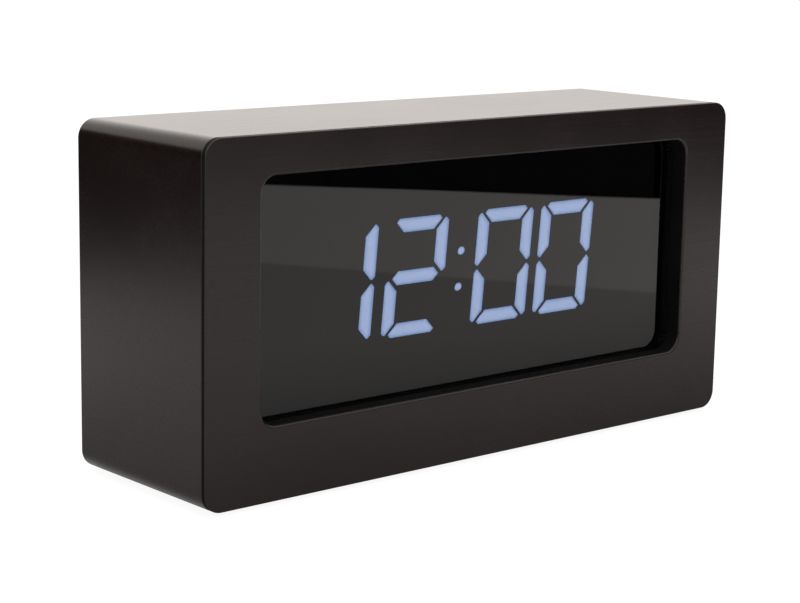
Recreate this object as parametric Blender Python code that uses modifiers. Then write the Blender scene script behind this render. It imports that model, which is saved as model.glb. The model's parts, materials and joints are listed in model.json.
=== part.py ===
"""A digital alarm clock in a flat black case: sleeve, front fascia, recessed display, rear cover and works.

Metres, +Z up. The front faces -Y, the long side runs along X, and the origin is the middle of the footprint
on the surface that the clock stands on. Run with: blender --background --python part.py
"""

import math

import bmesh
import bpy
from mathutils import Matrix, Vector

MM = 0.001

# Whole case
CASE_WIDTH = 153.5 * MM
CASE_HEIGHT = 75.0 * MM
CASE_CORNER_RADIUS = 4.0 * MM
CASE_WALL = 2.5 * MM
CASE_EDGE_EASE = 0.5 * MM
SEAM_EDGE_EASE = 0.2 * MM
FIT_GAP = 0.3 * MM  # between two pieces that sit against each other
OVERRUN = 1.0 * MM  # how far a cutter passes the face that it cuts
SEAT_OVERLAP = 0.4 * MM  # how far a boss or a wall reaches into the plate that it grows from
MERGE_DISTANCE = 0.01 * MM

# Rubber feet
FOOT_DIAMETER = 9.0 * MM
FOOT_PROUD = 1.0 * MM
FOOT_POCKET_DEPTH = 1.0 * MM
FOOT_EDGE_EASE = 0.3 * MM
FOOT_SIDE_INSET = 15.0 * MM
FOOT_FRONT_INSET = 13.0 * MM

# Front fascia, with depths counted back from its front face
FASCIA_RIM_THICKNESS = 1.0 * MM
FASCIA_PLATE_THICKNESS = 2.0 * MM
FASCIA_SPIGOT_END = 6.0 * MM
FASCIA_SPIGOT_WALL = 1.6 * MM
FASCIA_CORNER_RADIUS_INSIDE = 0.8 * MM
WINDOW_SIDE_MARGIN = 13.75 * MM
WINDOW_TOP_MARGIN = 8.2 * MM
WINDOW_BOTTOM_MARGIN = 15.8 * MM
WINDOW_CORNER_RADIUS = 4.0 * MM
WINDOW_EDGE_EASE = 1.1 * MM
WINDOW_SKIRT_END = 3.5 * MM
WINDOW_SKIRT_WALL = 1.4 * MM

# Posts, bosses and screws
POST_DIAMETER = 5.6 * MM
CASE_POST_HEIGHT_INSET = 8.2 * MM
CASE_POST_PROUD = 4.2 * MM  # past the display board's back
DISPLAY_POST_INSET = 10.5 * MM  # from the window's top and bottom
SCREW_SHANK_DIAMETER = 2.2 * MM
SCREW_HEAD_DIAMETER = 4.6 * MM
SCREW_HEAD_HEIGHT = 1.6 * MM
SCREW_HEAD_EASE = 0.3 * MM
SCREW_SLOT_LENGTH = 2.8 * MM
SCREW_SLOT_WIDTH = 0.6 * MM
SCREW_SLOT_DEPTH = 0.8 * MM
CASE_SCREW_LENGTH = 10.0 * MM
BOARD_SCREW_LENGTH = 6.0 * MM
PILOT_CLEARANCE = 0.3 * MM
PILOT_SPARE_DEPTH = 1.0 * MM

# Display stack, front to back
CARRIER_WALL = 1.4 * MM
CARRIER_LIP = 1.6 * MM
CARRIER_LIP_THICKNESS = 2.1 * MM
GASKET_THICKNESS = 0.5 * MM
GASKET_WIDTH = 1.0 * MM
LENS_THICKNESS = 2.0 * MM
LENS_EDGE_EASE = 0.2 * MM
MASK_THICKNESS = 3.0 * MM
LIGHT_GUIDE_RECESS = 0.3 * MM
LIGHT_GUIDE_GAP = 0.15 * MM
LIGHT_GUIDE_WEB = 1.0 * MM
REFLECTOR_DEPTH = 6.0 * MM
REFLECTOR_WALL = 2.2 * MM
BOARD_THICKNESS = 1.6 * MM
DISPLAY_BOARD_EAR_HEIGHT = 8.0 * MM
DISPLAY_BOARD_EAR_MARGIN = 2.4 * MM
LED_SIDE = 2.4 * MM
LED_HEIGHT = 0.8 * MM

# Digits
DIGIT_WIDTH = 16.8 * MM
DIGIT_HEIGHT = 27.0 * MM
DIGIT_STROKE = 3.8 * MM
DIGIT_SEGMENT_GAP = 0.9 * MM
DIGIT_SLANT = math.radians(5.0)
DIGIT_SPACE = 0.54 * MM
DIGIT_DROP = 1.0 * MM  # below the window's middle
DIGIT_WEB_GAP = 0.5 * MM
DIGIT_WEB_MARGIN = 1.0 * MM
COLON_DOT_DIAMETER = 2.1 * MM
COLON_DOT_SPREAD = 8.2 * MM
COLON_SPACE = 6.5 * MM
COLON_DOT_STEPS = 12

# Rear cover, inside the sleeve's rear edge
COVER_THICKNESS = 2.0 * MM
COVER_RECESS = 2.0 * MM
COVER_REBATE_WALL = 1.5 * MM
COVER_EDGE_EASE = 0.3 * MM
COVER_POST_WALL = 1.0 * MM
COVER_POST_SEAT = 3.0 * MM
WIRING_SPACE = 7.4 * MM  # from the display board's back to the battery tub
SOUND_HOLE_DIAMETER = 1.8 * MM
SOUND_HOLE_PITCH = 3.6 * MM
SOUND_HOLE_COUNT = 6
NOTCH_DIAMETER = 12.0 * MM
NOTCH_DEPTH = 1.0 * MM

# Battery compartment and its door; cells lie along X, the lowest row first
CELL_DIAMETER = 10.5 * MM
CELL_LENGTH = 44.5 * MM
CELL_NUB_DIAMETER = 3.8 * MM
CELL_NUB_LENGTH = 0.8 * MM
CELL_EDGE_EASE = 0.5 * MM
CELL_GAP = 0.5 * MM
CELL_ROWS = 3
TUB_LEFT = 14.0 * MM
TUB_BOTTOM = 20.0 * MM
TUB_WALL = 2.0 * MM
TUB_FLOOR = 1.2 * MM
DOOR_LEDGE = 1.0 * MM
DOOR_CORNER_RADIUS = 1.5 * MM
DOOR_TAB_WIDTH = 7.0 * MM
DOOR_TAB_INSET = 9.0 * MM
DOOR_TAB_NECK = 1.6 * MM
DOOR_TAB_REACH = 1.7 * MM
DOOR_TAB_THICKNESS = 1.2 * MM
DOOR_TAB_DROP = 0.4 * MM
DOOR_TAB_SWING_ROOM = 1.4 * MM
DOOR_GRIP_WIDTH = 14.0 * MM
DOOR_GRIP_HEIGHT = 0.8 * MM
DOOR_GRIP_PITCH = 2.0 * MM
DOOR_GRIP_DEPTH = 0.4 * MM
DOOR_GRIP_INSET = 4.0 * MM
DOOR_GRIP_COUNT = 3
CONTACT_THICKNESS = 0.5 * MM
CONTACT_HEIGHT = 8.0 * MM
CONTACT_DEPTH = 8.5 * MM
CONTACT_TAB_WIDTH = 3.0 * MM
CONTACT_TAB_REACH = 2.5 * MM
SPRING_LENGTH = 4.8 * MM
SPRING_WIRE_DIAMETER = 0.7 * MM
SPRING_WIDE_RADIUS = 3.4 * MM
SPRING_NARROW_RADIUS = 2.2 * MM
SPRING_TURNS = 3.5
SPRING_TURN_POINTS = 8

# Main board and what it carries
MAIN_BOARD_TUB_GAP = 2.2 * MM
MAIN_BOARD_SIDE_INSET = 13.5 * MM
MAIN_BOARD_BOTTOM = 13.0 * MM
MAIN_BOARD_TOP_INSET = 12.0 * MM
MAIN_BOARD_SCREW_INSET = 4.5 * MM
TACT_SIDE = 6.0 * MM
TACT_HEIGHT = 3.5 * MM
TACT_PLUNGER_DIAMETER = 3.4 * MM
TACT_PLUNGER_HEIGHT = 0.6 * MM
BUTTON_HEIGHT = 5.0 * MM
BUTTON_CORNER_RADIUS = 1.2 * MM
BUTTON_CORNER_STEPS = 4
BUTTON_EDGE_EASE = 0.4 * MM
BUTTON_PROUD = 1.2 * MM
BUTTON_FLANGE = 1.2 * MM
BUTTON_FLANGE_THICKNESS = 1.0 * MM
BUTTON_STEM_DIAMETER = 3.2 * MM
BUTTON_STEM_LENGTH = 0.4 * MM
BUTTON_TRAVEL = 0.6 * MM
BUTTON_STOP_ROOM = 0.2 * MM
SLIDER_TRAVEL = 3.0 * MM
SLIDER_KNOB_WIDTH = 5.0 * MM
SLIDER_KNOB_HEIGHT = 3.0 * MM
SLIDER_KNOB_PROUD = 1.4 * MM
SLIDER_KNOB_EASE = 0.3 * MM
SLIDER_FLANGE_WIDTH = 13.0 * MM
SLIDER_FLANGE_HEIGHT = 6.0 * MM
SLIDER_FLANGE_THICKNESS = 0.8 * MM
SLIDER_LEVER_WIDTH = 2.0 * MM
SLIDER_LEVER_HEIGHT = 1.6 * MM
SLIDER_LEVER_DIP = 1.0 * MM
SLIDE_SWITCH_WIDTH = 11.0 * MM
SLIDE_SWITCH_HEIGHT = 5.0 * MM
SLIDE_SWITCH_DEPTH = 4.0 * MM
SLIDE_SWITCH_SLOT_DEPTH = 1.6 * MM
SOCKET_BODY_SIDE = 9.4 * MM
SOCKET_NOSE_DIAMETER = 8.0 * MM
SOCKET_BORE_DIAMETER = 5.6 * MM
SOCKET_BORE_DEPTH = 7.0 * MM
SOCKET_PIN_DIAMETER = 2.0 * MM
SOCKET_PIN_LENGTH = 6.0 * MM
BUZZER_DIAMETER = 16.0 * MM
BUZZER_COVER_GAP = 1.0 * MM
BUZZER_HOLE_DIAMETER = 3.0 * MM
BUZZER_HOLE_DEPTH = 1.5 * MM
CHIP_SIDE = 10.0 * MM
CHIP_THICKNESS = 1.6 * MM
CHIP_EDGE_EASE = 0.3 * MM
CRYSTAL_CHIP_GAP = 3.75 * MM
CRYSTAL_LENGTH = 10.5 * MM
CRYSTAL_WIDTH = 4.6 * MM
CRYSTAL_THICKNESS = 3.6 * MM
CRYSTAL_CORNER_RADIUS = 2.25 * MM

# Places on the main board, as shares of its width and its height from its lower left corner
BUTTON_PITCH_SHARE = 0.6  # of the pitch in the row that a button takes
BUTTON_ROW_SHARES = {
    "time_button": (0.17, 0.8),
    "alarm_button": (0.385, 0.8),
    "hour_button": (0.6, 0.8),
    "minute_button": (0.815, 0.8),
    "snooze_button": (0.28, 0.52),
}
SLIDER_SHARES = (0.707, 0.52)
SOCKET_SHARES = (0.815, 0.18)
BUZZER_SHARES = (0.28, 0.21)
CHIP_SHARES = (0.43, 0.66)
RIBBON_HIGH_END_SHARES = (0.43, 0.38)
BOARD_SCREW_HEIGHT_SHARE = 0.46

# Wiring
WIRE_DIAMETER = 1.3 * MM
WIRE_BEND_RADIUS = 2.4 * MM
WIRE_LANDING = 3.0 * MM  # from the main board's left edge
WIRE_POINT_COUNT = 30
BEND_STEPS = 8
RIBBON_WIDTH = 12.0 * MM
RIBBON_THICKNESS = 0.8 * MM
RIBBON_DROP = 6.0 * MM  # from its end on the main board to its end on the display board
RIBBON_STEPS = 14

# Depths counted back from the front face, each worked out from the pieces in front of it
SLEEVE_FRONT = FASCIA_RIM_THICKNESS + FIT_GAP
CARRIER_FRONT = WINDOW_SKIRT_END + FIT_GAP
CARRIER_LIP_BACK = CARRIER_FRONT + CARRIER_LIP_THICKNESS
GASKET_FRONT = CARRIER_LIP_BACK + FIT_GAP
LENS_FRONT = GASKET_FRONT + GASKET_THICKNESS + FIT_GAP
LENS_BACK = LENS_FRONT + LENS_THICKNESS
MASK_FRONT = LENS_BACK + FIT_GAP
MASK_BACK = MASK_FRONT + MASK_THICKNESS
WEB_FRONT = MASK_BACK + FIT_GAP
WEB_BACK = WEB_FRONT + LIGHT_GUIDE_WEB
REFLECTOR_BACK = WEB_BACK + FIT_GAP + REFLECTOR_DEPTH
DISPLAY_BOARD_FRONT = REFLECTOR_BACK + FIT_GAP
DISPLAY_BOARD_BACK = DISPLAY_BOARD_FRONT + BOARD_THICKNESS
DISPLAY_POST_END = DISPLAY_BOARD_FRONT - FIT_GAP
CASE_POST_END = DISPLAY_BOARD_BACK + CASE_POST_PROUD
WIRE_RUN_DEPTH = DISPLAY_BOARD_BACK + FIT_GAP + WIRE_DIAMETER / 2
TUB_FLOOR_BACK = DISPLAY_BOARD_BACK + WIRING_SPACE
TUB_FLOOR_FACE = TUB_FLOOR_BACK + TUB_FLOOR
COVER_FRONT = TUB_FLOOR_FACE + CELL_DIAMETER + FIT_GAP * 2
COVER_BACK = COVER_FRONT + COVER_THICKNESS
CASE_DEPTH = COVER_BACK + COVER_RECESS
SLEEVE_LEDGE = COVER_FRONT - FIT_GAP
BUTTON_STEM_END = COVER_FRONT - FIT_GAP - BUTTON_FLANGE_THICKNESS - BUTTON_STEM_LENGTH
TACT_PLUNGER_END = BUTTON_STEM_END - BUTTON_TRAVEL - BUTTON_STOP_ROOM
ON_BOARD = TACT_PLUNGER_END - TACT_PLUNGER_HEIGHT - TACT_HEIGHT  # where a part on the board's rear starts
MAIN_BOARD_BACK = ON_BOARD - FIT_GAP
MAIN_BOARD_FACE = MAIN_BOARD_BACK - BOARD_THICKNESS
UNDER_BOARD = MAIN_BOARD_FACE - FIT_GAP  # where a part on its front ends

# Sizes across and up, worked out from the pieces that they fit
WINDOW_WIDTH = CASE_WIDTH - WINDOW_SIDE_MARGIN * 2
WINDOW_HEIGHT = CASE_HEIGHT - WINDOW_TOP_MARGIN - WINDOW_BOTTOM_MARGIN
WINDOW_MIDDLE_HEIGHT = WINDOW_BOTTOM_MARGIN + WINDOW_HEIGHT / 2
LENS_WIDTH = WINDOW_WIDTH + (CARRIER_LIP - FIT_GAP) * 2
LENS_HEIGHT = WINDOW_HEIGHT + (CARRIER_LIP - FIT_GAP) * 2
LENS_CORNER_RADIUS = WINDOW_CORNER_RADIUS + CARRIER_LIP - FIT_GAP
CARRIER_WIDTH = WINDOW_WIDTH + (CARRIER_LIP + CARRIER_WALL) * 2
CARRIER_HEIGHT = WINDOW_HEIGHT + (CARRIER_LIP + CARRIER_WALL) * 2
CARRIER_CORNER_RADIUS = WINDOW_CORNER_RADIUS + CARRIER_LIP + CARRIER_WALL
POST_SIDE_INSET = (CASE_WIDTH - CARRIER_WIDTH) / 2 - FIT_GAP - POST_DIAMETER / 2
PILOT_DIAMETER = SCREW_SHANK_DIAMETER + PILOT_CLEARANCE * 2
COVER_COUNTERBORE_DIAMETER = SCREW_HEAD_DIAMETER + FIT_GAP * 2
COVER_POST_DIAMETER = COVER_COUNTERBORE_DIAMETER + COVER_POST_WALL * 2
DIGIT_MIDDLE_HEIGHT = WINDOW_MIDDLE_HEIGHT - DIGIT_DROP
DIGIT_LEAN = math.tan(DIGIT_SLANT)
DIGIT_PITCH = DIGIT_WIDTH + DIGIT_HEIGHT * DIGIT_LEAN + DIGIT_SPACE
DIGIT_PAIR_OFFSET = DIGIT_PITCH + COLON_SPACE / 2
TUB_LENGTH = CELL_LENGTH + SPRING_LENGTH + CONTACT_THICKNESS * 2 + FIT_GAP * 5
TUB_HEIGHT = CELL_DIAMETER * CELL_ROWS + CELL_GAP * (CELL_ROWS + 1)
DOOR_WIDTH = TUB_LENGTH + DOOR_LEDGE * 2
DOOR_HEIGHT = TUB_HEIGHT + DOOR_LEDGE * 2
DOOR_THICKNESS = COVER_THICKNESS - FIT_GAP
MAIN_BOARD_LEFT = TUB_LEFT + TUB_LENGTH + TUB_WALL + MAIN_BOARD_TUB_GAP
MAIN_BOARD_WIDTH = CASE_WIDTH - MAIN_BOARD_LEFT - MAIN_BOARD_SIDE_INSET
MAIN_BOARD_HEIGHT = CASE_HEIGHT - MAIN_BOARD_BOTTOM - MAIN_BOARD_TOP_INSET
BUTTON_ROW_STEP = BUTTON_ROW_SHARES["alarm_button"][0] - BUTTON_ROW_SHARES["time_button"][0]
BUTTON_WIDTH = MAIN_BOARD_WIDTH * BUTTON_ROW_STEP * BUTTON_PITCH_SHARE

CORNER_STEPS = 6
EASE_STEPS = 2
WINDOW_EASE_STEPS = 3
ROUND_STEPS = 24
SMALL_ROUND_STEPS = 12
SMOOTH_ANGLE = math.radians(35.0)
ALIGNED = 0.99  # cosine above which two directions count as the same
QUARTER_TURN = math.pi / 2
QUARTER_ROLL = Matrix.Rotation(QUARTER_TURN, 3, "X")

# Colours, roughness and metallic of each material
FINISHES = {
    "case_black": ((0.018, 0.017, 0.017), 0.38, 0.0),
    "fascia_black": ((0.018, 0.017, 0.017), 0.38, 0.0),
    "cover_black": ((0.02, 0.02, 0.02), 0.5, 0.0),
    "lens_smoke": ((0.03, 0.03, 0.035), 0.05, 0.0),
    "foam_black": ((0.01, 0.01, 0.01), 0.9, 0.0),
    "mask_black": ((0.01, 0.01, 0.01), 0.6, 0.0),
    "guide_milky": ((0.55, 0.6, 0.75), 0.3, 0.0),
    "reflector_white": ((0.8, 0.8, 0.8), 0.4, 0.0),
    "board_green": ((0.02, 0.12, 0.05), 0.45, 0.0),
    "rubber_black": ((0.015, 0.015, 0.015), 0.85, 0.0),
    "screw_steel": ((0.45, 0.45, 0.46), 0.3, 1.0),
    "contact_nickel": ((0.6, 0.6, 0.58), 0.25, 1.0),
    "cell_jacket": ((0.25, 0.28, 0.32), 0.35, 0.6),
    "part_black": ((0.015, 0.015, 0.016), 0.45, 0.0),
    "can_metal": ((0.65, 0.65, 0.66), 0.25, 1.0),
    "wire_red": ((0.45, 0.02, 0.02), 0.45, 0.0),
    "wire_black": ((0.01, 0.01, 0.01), 0.45, 0.0),
    "ribbon_grey": ((0.4, 0.4, 0.42), 0.5, 0.0),
}


def clear_scene():
    for thing in list(bpy.data.objects):
        bpy.data.objects.remove(thing, do_unlink=True)


def make_collection(name):
    group = bpy.data.collections.new(name)
    bpy.context.scene.collection.children.link(group)
    return group


def make_material(name):
    color, roughness, metallic = FINISHES[name]
    material = bpy.data.materials.new(name)
    material.use_nodes = True
    shader = material.node_tree.nodes["Principled BSDF"]
    shader.inputs["Base Color"].default_value = (*color, 1.0)
    shader.inputs["Roughness"].default_value = roughness
    shader.inputs["Metallic"].default_value = metallic
    material.diffuse_color = (*color, 1.0)
    return material


clear_scene()
PARTS = make_collection("alarm_clock")
CUTTERS = make_collection("alarm_clock_cutters")
HOLDER = bpy.data.objects.new("alarm_clock", None)
PARTS.objects.link(HOLDER)


def spot(left, depth, height):
    """A place counted from the case's left side, its front face and its underside."""
    return Vector((left - CASE_WIDTH / 2, depth - CASE_DEPTH / 2, height + FOOT_PROUD))


def set_piece(name, mesh, finish, location, rotation=(0, 0, 0), parent=None):
    """Makes a mesh into one named piece of the clock, with a material of its own."""
    piece = bpy.data.objects.new(name, mesh)
    PARTS.objects.link(piece)
    piece.parent = parent or HOLDER
    piece.location = location - (parent.location if parent else Vector((0, 0, 0)))
    piece.rotation_euler = rotation
    material = make_material(finish)
    material.name = name
    mesh.materials.clear()
    mesh.materials.append(material)
    return piece


def set_cutter(name, mesh, location, rotation=(0, 0, 0)):
    cutter = bpy.data.objects.new(name, mesh)
    CUTTERS.objects.link(cutter)
    cutter.location = location
    cutter.rotation_euler = rotation
    cutter.hide_render = True
    cutter.display_type = "WIRE"
    return cutter


def combine(piece, tool, operation):
    modifier = piece.modifiers.new(tool.name, "BOOLEAN")
    modifier.operation = operation
    modifier.solver = "EXACT"
    modifier.object = tool


def cut(piece, tool):
    combine(piece, tool, "DIFFERENCE")


def grow(piece, tool):
    combine(piece, tool, "UNION")


def mesh_from(bm, name):
    mesh = bpy.data.meshes.new(name)
    bmesh.ops.recalc_face_normals(bm, faces=bm.faces[:])
    bm.to_mesh(mesh)
    bm.free()
    mesh.shade_smooth()
    mesh.set_sharp_from_angle(angle=SMOOTH_ANGLE)
    return mesh


def lies_along(edge, axis):
    run = edge.verts[1].co - edge.verts[0].co
    return abs(run[axis]) > run.length * ALIGNED


def block_mesh(name, width, depth, height, radius=0, steps=CORNER_STEPS):
    """A box centred on its own middle, its four edges along Y rounded where a radius is given."""
    bm = bmesh.new()
    bmesh.ops.create_cube(bm, size=1)
    bmesh.ops.scale(bm, vec=(width, depth, height), verts=bm.verts[:])
    if radius:
        corners = [edge for edge in bm.edges if lies_along(edge, 1)]
        bmesh.ops.bevel(bm, geom=corners, offset=radius, segments=steps, profile=0.5, affect="EDGES")
    return mesh_from(bm, name)


def ease_faces(mesh, side, radius, steps=1):
    """Rounds the outline of a block's front (-1) or back (1) face."""
    bm = bmesh.new()
    bm.from_mesh(mesh)
    far = max(vert.co.y * side for vert in bm.verts)
    edges = [e for e in bm.edges if all(abs(v.co.y * side - far) < MERGE_DISTANCE for v in e.verts)]
    bmesh.ops.bevel(bm, geom=edges, offset=radius, segments=steps, profile=0.5, affect="EDGES")
    bm.to_mesh(mesh)
    bm.free()
    mesh.shade_smooth()
    mesh.set_sharp_from_angle(angle=SMOOTH_ANGLE)


def plate(name, finish, left, height, front, back, width, tall, radius=0):
    """A plate facing the front: its middle across and up, its two depths, and its outline."""
    mesh = block_mesh(name, width, back - front, tall, radius)
    return set_piece(name, mesh, finish, spot(left, (front + back) / 2, height))


def plate_cutter(name, left, height, front, back, width, tall, radius=0):
    mesh = block_mesh(name, width, back - front, tall, radius)
    return set_cutter(name, mesh, spot(left, (front + back) / 2, height))


def rod_mesh(name, diameter, length, steps):
    """A cylinder along Y, centred on its own middle."""
    bm = bmesh.new()
    bmesh.ops.create_cone(
        bm, cap_ends=True, segments=steps, radius1=diameter / 2, radius2=diameter / 2, depth=length
    )
    bmesh.ops.rotate(bm, verts=bm.verts[:], matrix=QUARTER_ROLL)
    return mesh_from(bm, name)


def rod_cutter(name, left, height, front, back, diameter, steps=SMALL_ROUND_STEPS):
    mesh = rod_mesh(name, diameter, back - front, steps)
    return set_cutter(name, mesh, spot(left, (front + back) / 2, height))


def turned_mesh(name, profile):
    """Turns (radius, along) points about local Z. They run from the axis out and down the outer side."""
    mesh = bpy.data.meshes.new(name)
    bm = bmesh.new()
    points = [bm.verts.new((radius, 0, along)) for radius, along in profile]
    for first, second in zip(points, points[1:]):
        bm.edges.new((first, second))
    bm.to_mesh(mesh)
    bm.free()
    return mesh


def turned(name, finish, profile, location, rotation, steps=ROUND_STEPS):
    mesh = turned_mesh(name, profile)
    piece = set_piece(name, mesh, finish, location, rotation)
    spin = piece.modifiers.new("turn", "SCREW")
    spin.axis = "Z"
    spin.steps = steps
    spin.render_steps = steps
    spin.use_merge_vertices = True
    spin.merge_threshold = MERGE_DISTANCE
    spin.use_smooth_shade = False
    return piece


def outline_mesh(name, outlines, thickness):
    """Flat outlines filled and given a thickness, in local XY with the thickness along local Z."""
    curve = bpy.data.curves.new(name, "CURVE")
    curve.dimensions = "2D"
    curve.fill_mode = "BOTH"
    curve.extrude = thickness / 2
    for outline in outlines:
        spline = curve.splines.new("POLY")
        spline.points.add(len(outline) - 1)
        for point, (across, up) in zip(spline.points, outline):
            point.co = (across, up, 0, 1)
        spline.use_cyclic_u = True
    holder = bpy.data.objects.new(name, curve)
    CUTTERS.objects.link(holder)
    bpy.context.view_layer.update()
    made = bpy.data.meshes.new_from_object(holder.evaluated_get(bpy.context.evaluated_depsgraph_get()))
    bpy.data.objects.remove(holder, do_unlink=True)
    bm = bmesh.new()
    bm.from_mesh(made)
    bmesh.ops.remove_doubles(bm, verts=bm.verts[:], dist=MERGE_DISTANCE)
    bpy.data.meshes.remove(made)
    return mesh_from(bm, name)


def applied(piece):
    """Makes a piece's modifiers part of its mesh, and removes the cutters that only it used."""
    bpy.context.view_layer.update()
    made = bpy.data.meshes.new_from_object(piece.evaluated_get(bpy.context.evaluated_depsgraph_get()))
    old = piece.data
    piece.data = made
    made.name = piece.name
    bpy.data.meshes.remove(old)
    tools = [modifier.object for modifier in piece.modifiers if modifier.type == "BOOLEAN"]
    piece.modifiers.clear()
    for tool in tools:
        bpy.data.objects.remove(tool, do_unlink=True)
    return piece


def ease_edges(piece, chosen, radius, steps):
    """Rounds the edges of an applied piece for which chosen(edge) holds."""
    bm = bmesh.new()
    bm.from_mesh(piece.data)
    bm.normal_update()
    edges = [edge for edge in bm.edges if len(edge.link_faces) == 2 and chosen(edge)]
    bmesh.ops.bevel(bm, geom=edges, offset=radius, segments=steps, profile=0.5, affect="EDGES")
    bm.to_mesh(piece.data)
    bm.free()
    piece.data.shade_smooth()
    piece.data.set_sharp_from_angle(angle=SMOOTH_ANGLE)


def rims_face(edge, side):
    """True where an edge bounds a face that looks to the front (-1) or the back (1)."""
    flat = [face.normal.y * side > ALIGNED for face in edge.link_faces]
    return flat[0] != flat[1]


def make_case_sleeve():
    """The middle of the case: a rounded tube, with a rebate at the rear that the cover sits in."""
    depth = CASE_DEPTH - SLEEVE_FRONT
    mesh = block_mesh("case_sleeve", CASE_WIDTH, depth, CASE_HEIGHT, CASE_CORNER_RADIUS)
    middle = (SLEEVE_FRONT + CASE_DEPTH) / 2
    sleeve = set_piece("case_sleeve", mesh, "case_black", spot(CASE_WIDTH / 2, middle, CASE_HEIGHT / 2))
    bores = (
        ("sleeve_bore", SLEEVE_FRONT - OVERRUN, CASE_DEPTH + OVERRUN, CASE_WALL),
        ("sleeve_rebate", SLEEVE_LEDGE, CASE_DEPTH + OVERRUN, COVER_REBATE_WALL),
    )
    for name, front, back, wall in bores:
        tool = plate_cutter(
            name, CASE_WIDTH / 2, CASE_HEIGHT / 2, front, back,
            CASE_WIDTH - wall * 2, CASE_HEIGHT - wall * 2, CASE_CORNER_RADIUS - wall,
        )
        cut(sleeve, tool)
    for name, left, depth in foot_places():
        pocket = rod_mesh(name + "_pocket", FOOT_DIAMETER + FIT_GAP * 2, FOOT_POCKET_DEPTH * 2, ROUND_STEPS)
        cut(sleeve, set_cutter(name + "_pocket", pocket, spot(left, depth, 0), (QUARTER_TURN, 0, 0)))
    applied(sleeve)
    outer = (CASE_WIDTH / 2 - CASE_WALL / 2, CASE_HEIGHT / 2 - COVER_REBATE_WALL / 2)

    def outside(edge):
        return all(abs(v.co.x) > outer[0] or abs(v.co.z) > outer[1] for v in edge.verts)

    ease_edges(sleeve, lambda edge: rims_face(edge, 1) and outside(edge), CASE_EDGE_EASE, EASE_STEPS)
    ease_edges(sleeve, lambda edge: rims_face(edge, -1) and outside(edge), SEAM_EDGE_EASE, 1)


def make_front_fascia():
    """The front face: plate, spigot into the sleeve, skirt round the window, and the screw posts."""
    mesh = block_mesh(
        "front_fascia", CASE_WIDTH, FASCIA_RIM_THICKNESS, CASE_HEIGHT, CASE_CORNER_RADIUS
    )
    place = spot(CASE_WIDTH / 2, FASCIA_RIM_THICKNESS / 2, CASE_HEIGHT / 2)
    fascia = set_piece("front_fascia", mesh, "fascia_black", place)
    inset = CASE_WALL + FIT_GAP
    spigot = plate_cutter(
        "fascia_spigot", CASE_WIDTH / 2, CASE_HEIGHT / 2, FASCIA_RIM_THICKNESS / 2, FASCIA_SPIGOT_END,
        CASE_WIDTH - inset * 2, CASE_HEIGHT - inset * 2, CASE_CORNER_RADIUS - inset,
    )
    grow(fascia, spigot)
    hollow = inset + FASCIA_SPIGOT_WALL
    cut(fascia, plate_cutter(
        "fascia_hollow", CASE_WIDTH / 2, CASE_HEIGHT / 2,
        FASCIA_PLATE_THICKNESS, FASCIA_SPIGOT_END + OVERRUN,
        CASE_WIDTH - hollow * 2, CASE_HEIGHT - hollow * 2, FASCIA_CORNER_RADIUS_INSIDE,
    ))
    grow(fascia, plate_cutter(
        "fascia_skirt", CASE_WIDTH / 2, WINDOW_MIDDLE_HEIGHT, FASCIA_PLATE_THICKNESS - SEAT_OVERLAP,
        WINDOW_SKIRT_END, WINDOW_WIDTH + WINDOW_SKIRT_WALL * 2, WINDOW_HEIGHT + WINDOW_SKIRT_WALL * 2,
        WINDOW_CORNER_RADIUS + WINDOW_SKIRT_WALL,
    ))
    cut(fascia, plate_cutter(
        "fascia_window", CASE_WIDTH / 2, WINDOW_MIDDLE_HEIGHT, -OVERRUN, WINDOW_SKIRT_END + OVERRUN,
        WINDOW_WIDTH, WINDOW_HEIGHT, WINDOW_CORNER_RADIUS,
    ))
    root = FASCIA_PLATE_THICKNESS - SEAT_OVERLAP
    for places, end, length in (
        (case_screw_places(), CASE_POST_END, CASE_SCREW_LENGTH - COVER_POST_SEAT),
        (display_screw_places(), DISPLAY_POST_END, BOARD_SCREW_LENGTH - BOARD_THICKNESS),
    ):
        for name, left, height in places:
            grow(fascia, rod_cutter(name + "_post", left, height, root, end, POST_DIAMETER))
            pilot = end - length - PILOT_SPARE_DEPTH
            cut(fascia, rod_cutter(name + "_pilot", left, height, pilot, end + OVERRUN, PILOT_DIAMETER))
    applied(fascia)
    reach = (WINDOW_WIDTH / 2 + WINDOW_EDGE_EASE, WINDOW_HEIGHT / 2 + WINDOW_EDGE_EASE)
    rise = WINDOW_MIDDLE_HEIGHT - CASE_HEIGHT / 2
    front = -FASCIA_RIM_THICKNESS / 2

    def on_front(edge):
        return all(abs(v.co.y - front) < MERGE_DISTANCE for v in edge.verts) and rims_face(edge, -1)

    def at_window(edge):
        return all(abs(v.co.x) < reach[0] and abs(v.co.z - rise) < reach[1] for v in edge.verts)

    ease_edges(fascia, lambda edge: on_front(edge) and at_window(edge), WINDOW_EDGE_EASE, WINDOW_EASE_STEPS)
    ease_edges(fascia, lambda edge: on_front(edge) and not at_window(edge), CASE_EDGE_EASE, EASE_STEPS)


def foot_places():
    """Name, left and depth of each rubber foot."""
    for side, left in (("left", FOOT_SIDE_INSET), ("right", CASE_WIDTH - FOOT_SIDE_INSET)):
        for end, depth in (("front", FOOT_FRONT_INSET), ("rear", CASE_DEPTH - FOOT_FRONT_INSET)):
            yield f"rubber_foot_{end}_{side}", left, depth


def case_screw_places():
    for side, left in (("left", POST_SIDE_INSET), ("right", CASE_WIDTH - POST_SIDE_INSET)):
        top = CASE_HEIGHT - CASE_POST_HEIGHT_INSET
        for end, height in (("bottom", CASE_POST_HEIGHT_INSET), ("top", top)):
            yield f"cover_screw_{end}_{side}", left, height


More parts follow.
